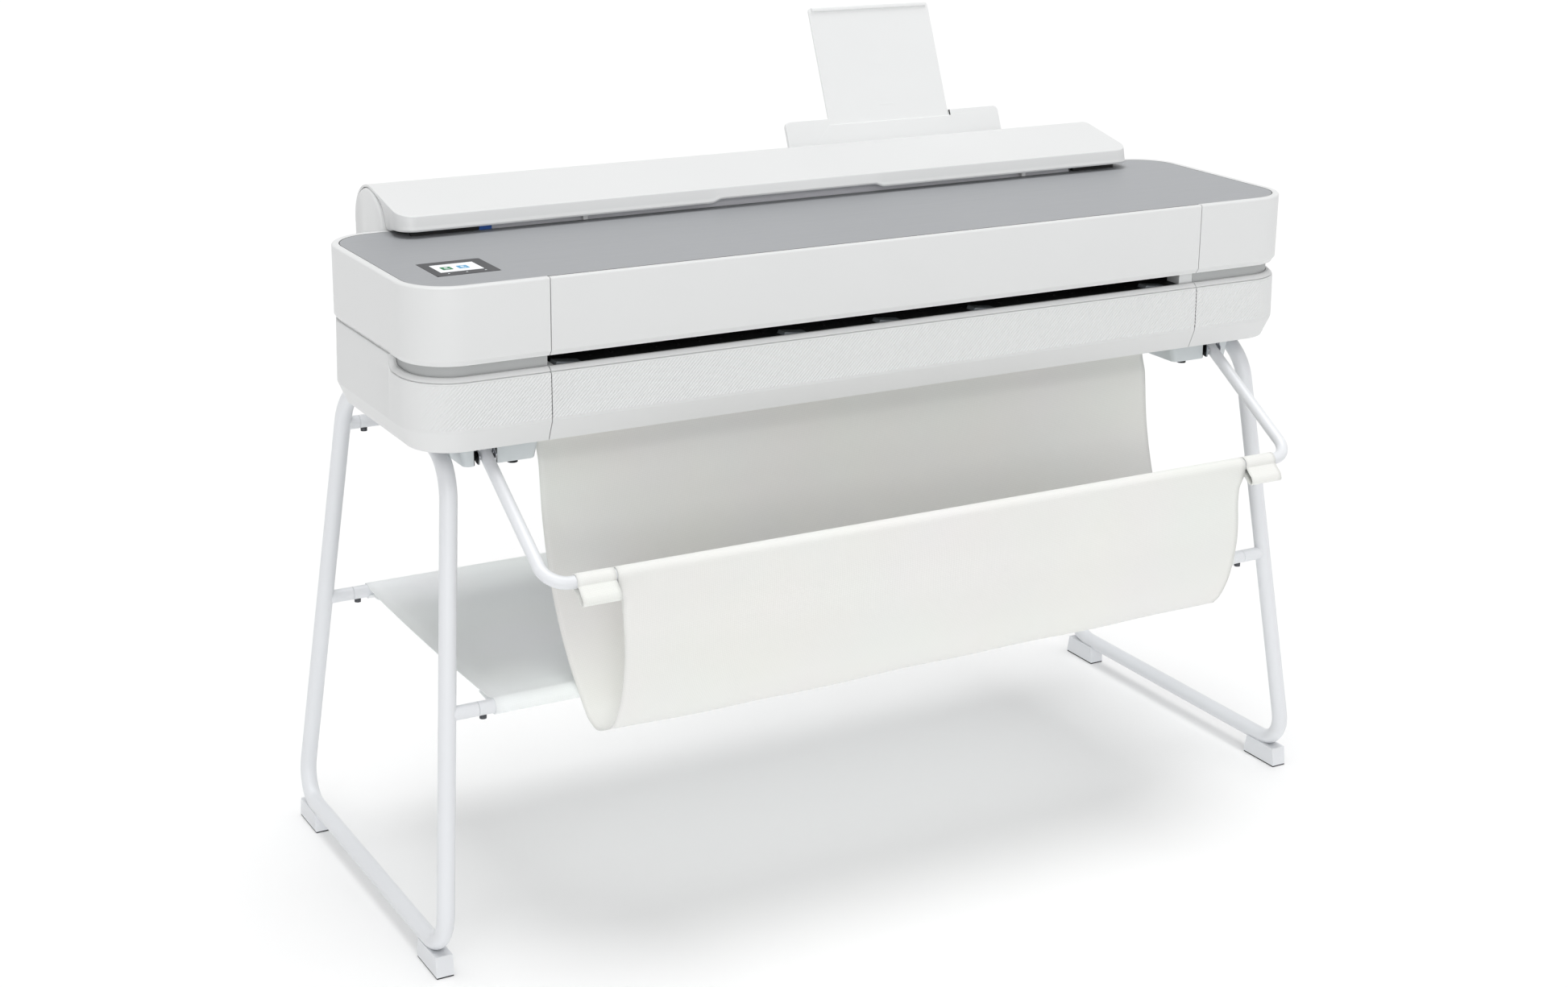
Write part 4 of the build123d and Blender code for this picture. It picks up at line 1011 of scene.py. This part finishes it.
# ---- roll, paper and works ----------------------------------------------------------------
class PLOTTER_OT_works(bpy.types.Operator):
    """The paper roll on its hubs, the loose sheet, and everything inside the body"""

    bl_idname = "plotter.works"
    bl_label = "Roll and works"

    def execute(self, context):
        a, b = ROLL_ENDS
        wound = [(a, 25.6), (a, 41.4), (a + 0.6, 42), (b - 0.6, 42), (b, 41.4), (b, 25.6)]
        wound = lathe_x(wound, *ROLL_AXIS, 72)
        build("wound_paper", [wound], "paper", "roll", ["paper_roll"])
        hub = [(18, 8), (18, 30), (16.5, 34.5), (15, 36), (2, 36), (0.4, 34.5), (0, 25.2)]
        hub = np.array([*hub, (-40, 25.2), (-40, 8)])
        left, right = hub * [-1, 1] + [a, 0], hub + [b, 0]
        hubs = [lathe_x(left, *ROLL_AXIS, 64), lathe_x(right, *ROLL_AXIS, 64)]
        build("roll_hubs", hubs, "hub", "roll", ["spindle_hubs"])
        spindle = [(-566, 7), (-565, 8), (565, 8), (566, 7)]
        spindle = lathe_x(spindle, *ROLL_AXIS, 40)
        build("spindle", [spindle], "black", "roll", ["roll_spindle"])
        softened("paper_web", "paper", 0)
        dress("black", "spindle_gear", "carriage")
        dress("grey", "spindle_pinion", "feed_pinion")
        dress("rubber", "feed_roller", "pinch_rollers", "carriage_belt")
        dress("chrome", "guide_rod")
        dress("steel", "carriage_beam", "idler_pulley", "drive_pulley", "drive_motors")
        dress("steel", "power_supply", "chassis_end_left", "chassis_end_right")
        dress("ink", "ink_cartridges")
        dress("circuit", "main_board")
        return {"FINISHED"}


# ---- stand --------------------------------------------------------------------------------
# The side frame's foot and top as (x, height), and its front and rear legs' depths there.
FRAME_FOOT = (662.0, 33.0)
FRAME_TOP = (605.0, 642.0)
LEG_FOOT = (-48.0, 484.0)
LEG_TOP = (41.0, 404.0)


def up_the_leg(foot, top, z):
    """A leg's place at a height, on the straight line from its foot to its top."""
    share = (z - FRAME_FOOT[1]) / (FRAME_TOP[1] - FRAME_FOOT[1])
    return foot + share * (top - foot)


# Depths of the two bars that carry the shelf.
SHELF_BARS = [up_the_leg(foot, top, SHELF_HEIGHT) for foot, top in zip(LEG_FOOT, LEG_TOP)]


def side_loop():
    """The right side frame: a closed trapezium of tube in a plane that leans inwards."""
    corners = [
        (FRAME_FOOT[0], LEG_FOOT[0], FRAME_FOOT[1]),
        (FRAME_TOP[0], LEG_TOP[0], FRAME_TOP[1]),
        (FRAME_TOP[0], LEG_TOP[1], FRAME_TOP[1]),
        (FRAME_FOOT[0], LEG_FOOT[1], FRAME_FOOT[1]),
    ]
    steps = bpy.context.scene.plotter_sizes.bend_steps
    path = fillet(corners, [45, 65, 65, 45], steps)
    lean = np.subtract(corners[1], corners[0]) * [1, 0, 1]
    return tube(path, 11, np.cross(lean, [0, 1, 0]), closed=True, sides=32)


# Each cross bar's depth and height, and where along x it is joined to the side frame's stub.
BARS = [(412.0, 584.0, 588.0)] + [(depth, SHELF_HEIGHT, 595.0) for depth in SHELF_BARS]


class PLOTTER_OT_stand(bpy.types.Operator):
    """Side frames, cross bars, feet and fixings"""

    bl_idname = "plotter.stand"
    bl_label = "Stand"

    def execute(self, context):
        parts = [side_loop()]
        beams = []
        for y, z, joint in BARS:
            reach = up_the_leg(FRAME_FOOT[0], FRAME_TOP[0], z)
            parts.append(lathe_x([(joint, 8.4), (joint + 0.6, 9), (reach, 9)], y, z, 32))
            half = joint - 0.3
            beam = [(-half, 8.4), (-half + 0.6, 9), (half - 0.6, 9), (half, 8.4)]
            beams.append(lathe_x(beam, y, z, 32))
        for side, pieces in (("right", parts), ("left", [mirrored(p) for p in parts])):
            build(f"side_frame_tube_{side}", pieces, "powder", "printer", [f"side_frame_{side}"])
        build("cross_tubes", beams, "powder", "printer", ["cross_bars"])
        softened("foot_blocks", "powder", 1.2)
        dress("rubber", "foot_pads", "bracket_stops")
        dress("bolt", "frame_bolts")
        return {"FINISHED"}


# ---- brackets and basket ------------------------------------------------------------------
def arm_reach():
    """The arms' direction from their pivot to the bar, as (depth, height)."""
    way = np.subtract(BASKET_BAR, ARM_PIVOT)
    return way / np.linalg.norm(way)


def basket_path():
    """The basket bar's path in its own plane: down one arm, along the front, and up the other."""
    reach = arm_reach()
    start = ARM_PIVOT + 7 * reach
    corners = [(-ARM_X, *start), (-ARM_X, *BASKET_BAR), (ARM_X, *BASKET_BAR), (ARM_X, *start)]
    path = fillet(corners, [1, 30, 30, 1], bpy.context.scene.plotter_sizes.bend_steps, False)
    return path, np.cross([1, 0, 0], [0, *reach])


class PLOTTER_OT_basket_frame(bpy.types.Operator):
    """The housings under the body and the swinging bar of the basket"""

    bl_idname = "plotter.basket_frame"
    bl_label = "Basket frame"

    def execute(self, context):
        softened("under_brackets", "bracket", 1.6)
        dress("chrome", "pivot_pins")
        softened("hang_rod", "steel", 0.5)
        path, normal = basket_path()
        parts = [tube(path, 8, normal)]
        head = [(-9, 4.1), (-9, 7.4), (-8.4, 8), (8.4, 8), (9, 7.4), (9, 4.1)]
        for x in (-ARM_X, ARM_X):
            parts.append(lathe_x(np.array(head) + [x, 0], *ARM_PIVOT, 32))
        build("basket_tube", parts, "powder", "basket_bar", ["basket_bar"])
        reach = arm_reach()
        y, z = ARM_PIVOT + 46 * reach
        rivet = lathe_x([(7.4, 0.6), (7.4, 2.8), (8.3, 2.6), (8.7, 1.6), (8.5, 0.4)], 0, 0, 20)
        points = rivet[0][:, [1, 0, 2]] * [1, -1, 1]
        turned = points[:, 1:2] * [0, reach[1], -reach[0]] + points[:, 2:] * [0, *reach]
        strap = [(40, 624), (50, 626), (64, 640), (60, 648), (48, 649), (36, 636)]
        strap = fillet(strap, 3, 4)
        box = [(45.6, 622.8), (66.4, 622.8), (66.4, 650.3), (45.6, 650.3)]
        back = [(65.6, 622.5), (66.8, 622.5), (66.8, 650.3), (65.6, 650.3)]
        roof = [(45.6, 649.6), (66.4, 649.6), (66.4, 650.4), (45.6, 650.4)]
        rivets, clips, pocket_shade_sheets = [], [], []
        for x in (-ARM_X, ARM_X):
            rivets.append((points * [1, 0, 0] + turned + [x, y, z], *rivet[1:]))
            clips += [prism(strap, x + d, x + d + 1.6) for d in (-11.5, 9.9)]
            x0, x1 = x - 14.8, x + 14.8
            # Thin black sheets on each pocket's inner walls: painted shade.
            pocket_shade_sheets += [prism(box, x0, x0 + 0.6), prism(box, x1 - 0.6, x1)]
            pocket_shade_sheets += [prism(back, x0, x1), prism(roof, x0, x1)]
        build("bracket_pocket_shade_sheets", pocket_shade_sheets, "black", "printer", slot="black_plastic")
        build("pivot_clips", clips, "chrome", "printer", bevel=0.0003, slot="bright_rod")
        build("arm_rivets", rivets, "steel", "basket_bar", slot="steel")
        return {"FINISHED"}


def ring_points(centre, radius, first, last, count):
    """Points evenly round a circle of (depth, height), from one angle in degrees to another."""
    a = np.radians(np.linspace(first, last, count))
    return np.stack([centre[0] + radius * np.cos(a), centre[1] + radius * np.sin(a)], 1)


def basket_section():
    """The cloth's line from its hem round the rod, down the back, along the bottom, up the front,
    over the bar, and down inside to the sewn edge."""
    drop = bpy.context.scene.plotter_sizes.stitch_drop * 1000
    hem = ring_points(HANG_ROD, 5.1, -60, 240, 30)
    back = [(84, 600), (72, 520), (47, 441), (15, 384), (-28, 335), (-58, 310), (-77, 305.6)]
    front = [(-90, 308.4), (-106, 317), (-130, 352), (-142, 392), (-146.2, 425), (-145.6, 445)]
    front += [(-142.4, 477), (-143.4, 500)]
    over = ring_points(BASKET_BAR, 9.2, 190, -30, 26)
    y, z = BASKET_BAR
    inside = [(y - 0.5, z - 15), (y - 3.2, z - 30), (y - 4.4, z - drop + 6), (y - 4.8, z - drop)]
    return smooth_path(np.vstack([hem, back, front, over, inside]), 300)


def draped(path, half, columns, wave, hold):
    """A cloth on a section line: low waves push it along its normal, and die out where the line is
    held. The map is in metres of cloth."""
    s = run_length(path)
    tangent = np.gradient(path, s, axis=0)
    tangent /= np.maximum(np.linalg.norm(tangent, axis=1, keepdims=True), 1e-9)
    normal = np.stack([tangent[:, 1], -tangent[:, 0]], 1)
    share = np.linspace(-1, 1, columns)
    x = share[None] * half[:, None]
    k = s[:, None] / 1000
    push = np.sin(x * 0.011 + 3.1 * k) * 0.5 + np.sin(x * 0.0047 - 5.3 * k + 1.7) * 0.8
    push = push + 0.35 * np.sin(x * 0.031 + 7 * k)
    push = push * (wave * hold)[:, None]
    y = path[:, :1] + normal[:, :1] * push
    z = path[:, 1:] + normal[:, 1:] * push
    uv = np.stack([x / 1000, np.broadcast_to(k, x.shape)], -1)
    return skin(np.stack([x, y, z], -1), uv=uv)


def loop_band(x0, x1):
    """A sewn loop round the bar whose two layers hang on as a flat tail."""
    y, z = BASKET_BAR
    ring = ring_points(BASKET_BAR, 9.2, 196, -24, 30)
    back = [(y + 3.5, z - 9.8), (y - 4, z - 13.5), (y - 10.5, z - 19), (y - 16.5, z - 23)]
    tip = [(y - 20.5, z - 23.8), (y - 23.4, z - 21.6)]
    front = [(y - 22.4, z - 15.5), (y - 15.2, z - 8.6)]
    line = np.vstack([ring, back, tip, front, ring[:1]])
    path = smooth_path(line, 110)
    x = np.linspace(x0, x1, 9)
    s = run_length(path) / 1000
    grid = np.stack(np.broadcast_arrays(x[None], path[:, :1], path[:, 1:]), -1)
    uv = np.stack(np.broadcast_arrays(x[None] / 1000, s[:, None]), -1)
    return skin(grid, uv=uv), s[-1]


class PLOTTER_OT_basket_cloth(bpy.types.Operator):
    """The hanging cloth of the basket and the loops at its ends"""

    bl_idname = "plotter.basket_cloth"
    bl_label = "Basket cloth"

    def execute(self, context):
        sizes = context.scene.plotter_sizes
        wall = sizes.cloth_thickness
        path = basket_section()
        s = run_length(path)
        below = np.clip(BASKET_BAR[1] - path[:, 1], 0, None)
        front = path[:, 0] < -100
        # The front wall is 7 mm narrower on each side than the sleeve that holds the bar.
        taper = np.where(front, smoothstep((below - 10) / 22), 1.0)
        half = BASKET_HALF - np.where(front, 7 * taper, 0)
        held = smoothstep((s - 45) / 90) * np.where(front, smoothstep((below - 18) / 120), 1)
        chunk = draped(path, half, 120, sizes.cloth_wave * 1000, held)
        # The blend names the printer, the bar and two points, but the cloth is only fixed in place:
        # it rides on no body and does not bend.
        blend = ("printer", "basket_bar", (0, FRONT - 0.015, 0.3), (0, FRONT - 0.124, 0.3))
        how = {"wall": wall, "angle": 60, "blend": blend, "slot": "cloth"}
        solids = ["basket_front", "basket_back"]
        cloth = build("basket_cloth", [chunk], "cloth", None, solids, **how)
        for side, (x0, x1) in (("right", (472, 522)), ("left", (-522, -472))):
            chunk, around = loop_band(x0, x1)
            name, how = f"end_loop_{side}", {"wall": wall, "angle": 60}
            band = build(name, [chunk], "cloth", "basket_bar", ["sleeve_loops"], **how)
        return {"FINISHED"}


class PLOTTER_OT_shelf_cloth(bpy.types.Operator):
    """The cloth shelf between the two lower bars"""

    bl_idname = "plotter.shelf_cloth"
    bl_label = "Shelf cloth"

    def execute(self, context):
        wall = context.scene.plotter_sizes.cloth_thickness
        (y0, y1), z = SHELF_BARS, SHELF_HEIGHT
        first = ring_points((y0, z), 10.2, 320, 62, 34)
        last = ring_points((y1, z), 10.2, 118, -140, 34)
        sag = [(y0 + 40, z + 5.5), (y0 + 110, z + 3), ((y0 + y1) / 2, z + 1.5)]
        sag += [(y1 - 110, z + 3), (y1 - 40, z + 5.5)]
        line = np.vstack([[(y0 + 46, z + 2.2)], first, sag, last, [(y1 - 46, z + 2.2)]])
        path = smooth_path(line, 260)
        s = run_length(path)
        held = smoothstep((s - 90) / 90) * smoothstep((s[-1] - s - 90) / 90)
        chunk = draped(path, np.full(len(path), SHELF_HALF), 60, 1.5, held)
        how = {"wall": wall, "angle": 60}
        cloth = build("shelf_sheet", [chunk], "shelf", "printer", ["shelf_cloth"], **how)
        return {"FINISHED"}


# ---- stage --------------------------------------------------------------------------------
def seen_rays(tree):
    """One for rays from the camera, from gloss and through glass, and nought for all others."""
    path = add_node(tree, "ShaderNodeLightPath")
    value = path.outputs["Is Camera Ray"]
    for kind in ("Is Glossy Ray", "Is Transmission Ray"):
        inputs = {0: value, 1: path.outputs[kind]}
        value = add_node(tree, "ShaderNodeMath", {"operation": "MAXIMUM"}, inputs).outputs[0]
    return value


class PLOTTER_OT_stage(bpy.types.Operator):
    """Floor, lamps, world and camera"""

    bl_idname = "plotter.stage"
    bl_label = "Stage"

    def execute(self, context):
        scene = context.scene
        stage = scene.plotter_stage
        world = bpy.data.worlds.new("even_sky")
        world.use_nodes = True
        tree = world.node_tree
        tree.nodes.clear()
        where = add_node(tree, "ShaderNodeTexCoord").outputs["Object"]
        height = add_node(tree, "ShaderNodeSeparateXYZ", inputs={0: where}).outputs[2]
        lighting = add_node(
            tree,
            "ShaderNodeMapRange",
            {"interpolation_type": "SMOOTHSTEP"},
            {0: height, 1: 0.6, 2: 0.95, 3: stage.low_sky, 4: stage.high_sky},
        )
        level = {0: seen_rays(tree), 3: lighting.outputs[0], 4: 1.0}
        strength = add_node(tree, "ShaderNodeMapRange", inputs=level)
        sky = {"Color": (1, 1, 1, 1), "Strength": strength.outputs[0]}
        light = add_node(tree, "ShaderNodeBackground", inputs=sky)
        add_node(tree, "ShaderNodeOutputWorld", inputs={"Surface": light.outputs[0]})
        scene.world = world

        lamps = (
            ("top_lamp", stage.top_lamp, 40, (0.02, 0.0, 0.99)),
            ("front_lamp", stage.front_lamp, 40, (-0.35, -0.72, 0.6)),
            ("low_lamp", stage.low_lamp, 20, (-0.38, -0.9, 0.2)),
        )
        for name, power, width, towards in lamps:
            lamp = bpy.data.lights.new(name, "SUN")
            lamp.energy = power
            lamp.angle = math.radians(width)
            holder = bpy.data.objects.new(name, lamp)
            holder.rotation_euler = Vector(towards).to_track_quat("Z", "Y").to_euler()
            scene.collection.objects.link(holder)

        material, tree, shader = surface("floor_pale", stage.floor, Roughness=0.9)
        glow = {"Color": (1, 1, 1, 1), "Strength": 1.0}
        white = add_node(tree, "ShaderNodeEmission", inputs=glow)
        shares = {0: stage.lift, 1: shader.outputs[0], 2: white.outputs[0]}
        mixed = add_node(tree, "ShaderNodeMixShader", inputs=shares)
        output = next(n for n in tree.nodes if n.type == "OUTPUT_MATERIAL")
        tree.links.new(mixed.outputs[0], output.inputs["Surface"])
        mesh = bpy.data.meshes.new("floor")
        far = [(-30, -30, 0), (30, -30, 0), (30, 30, 0), (-30, 30, 0)]
        mesh.from_pydata(far, [], [(0, 1, 2, 3)])
        mesh.materials.append(material)
        floor = bpy.data.objects.new("floor", mesh)
        scene.collection.objects.link(floor)

        lens = bpy.data.cameras.new("camera")
        lens.lens = 55.215
        lens.sensor_width = 36
        lens.shift_y = -0.0578
        camera = bpy.data.objects.new("camera", lens)
        right = Vector((0.87234, -0.48876, 0.01128))
        up = Vector((0.12617, 0.24736, 0.96067))
        forward = Vector((0.47233, 0.83661, -0.27745))
        turn = Matrix((right, up, -forward)).transposed().to_4x4()
        camera.matrix_world = Matrix.Translation((-1.60623, FRONT - 2.54701, 1.5056)) @ turn
        scene.collection.objects.link(camera)
        scene.camera = camera
        scene.view_settings.view_transform = "Standard"
        return {"FINISHED"}


class PLOTTER_PT_panel(bpy.types.Panel):
    """Lists the plotter's steps, sizes and colours"""

    bl_idname = "PLOTTER_PT_panel"
    bl_label = "Large Format Plotter"
    bl_space_type = "VIEW_3D"
    bl_region_type = "UI"
    bl_category = "Plotter"

    def draw(self, context):
        for kind in STEPS:
            self.layout.operator(kind.bl_idname)
        for name in ("plotter_sizes", "plotter_colours", "plotter_stage"):
            group = getattr(context.scene, name)
            for key in group.bl_rna.properties.keys():
                if key not in ("rna_type", "name"):
                    self.layout.prop(group, key)


GROUPS = {
    "plotter_sizes": PlotterSizes,
    "plotter_colours": PlotterColours,
    "plotter_stage": PlotterStage,
}
STEPS = [
    PLOTTER_OT_casings,
    PLOTTER_OT_deck,
    PLOTTER_OT_roll_housing,
    PLOTTER_OT_roll_cover,
    PLOTTER_OT_sheet_feeder,
    PLOTTER_OT_works,
    PLOTTER_OT_stand,
    PLOTTER_OT_basket_frame,
    PLOTTER_OT_basket_cloth,
    PLOTTER_OT_shelf_cloth,
    PLOTTER_OT_stage,
]


def register():
    """Makes Blender know the groups, the steps and the panel."""
    for kind in [*GROUPS.values(), *STEPS, PLOTTER_PT_panel]:
        bpy.utils.register_class(kind)
    for name, group in GROUPS.items():
        setattr(bpy.types.Scene, name, PointerProperty(type=group))


def unregister():
    """Takes back what register does, in the other order."""
    for name in GROUPS:
        delattr(bpy.types.Scene, name)
    for kind in [PLOTTER_PT_panel, *reversed(STEPS), *GROUPS.values()]:
        bpy.utils.unregister_class(kind)


def main():
    """Registers the classes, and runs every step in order."""
    register()
    FINISH.update(make_materials())
    for kind in STEPS:
        getattr(bpy.ops.plotter, kind.bl_idname.split(".")[1])()


if __name__ == "__main__":
    main()
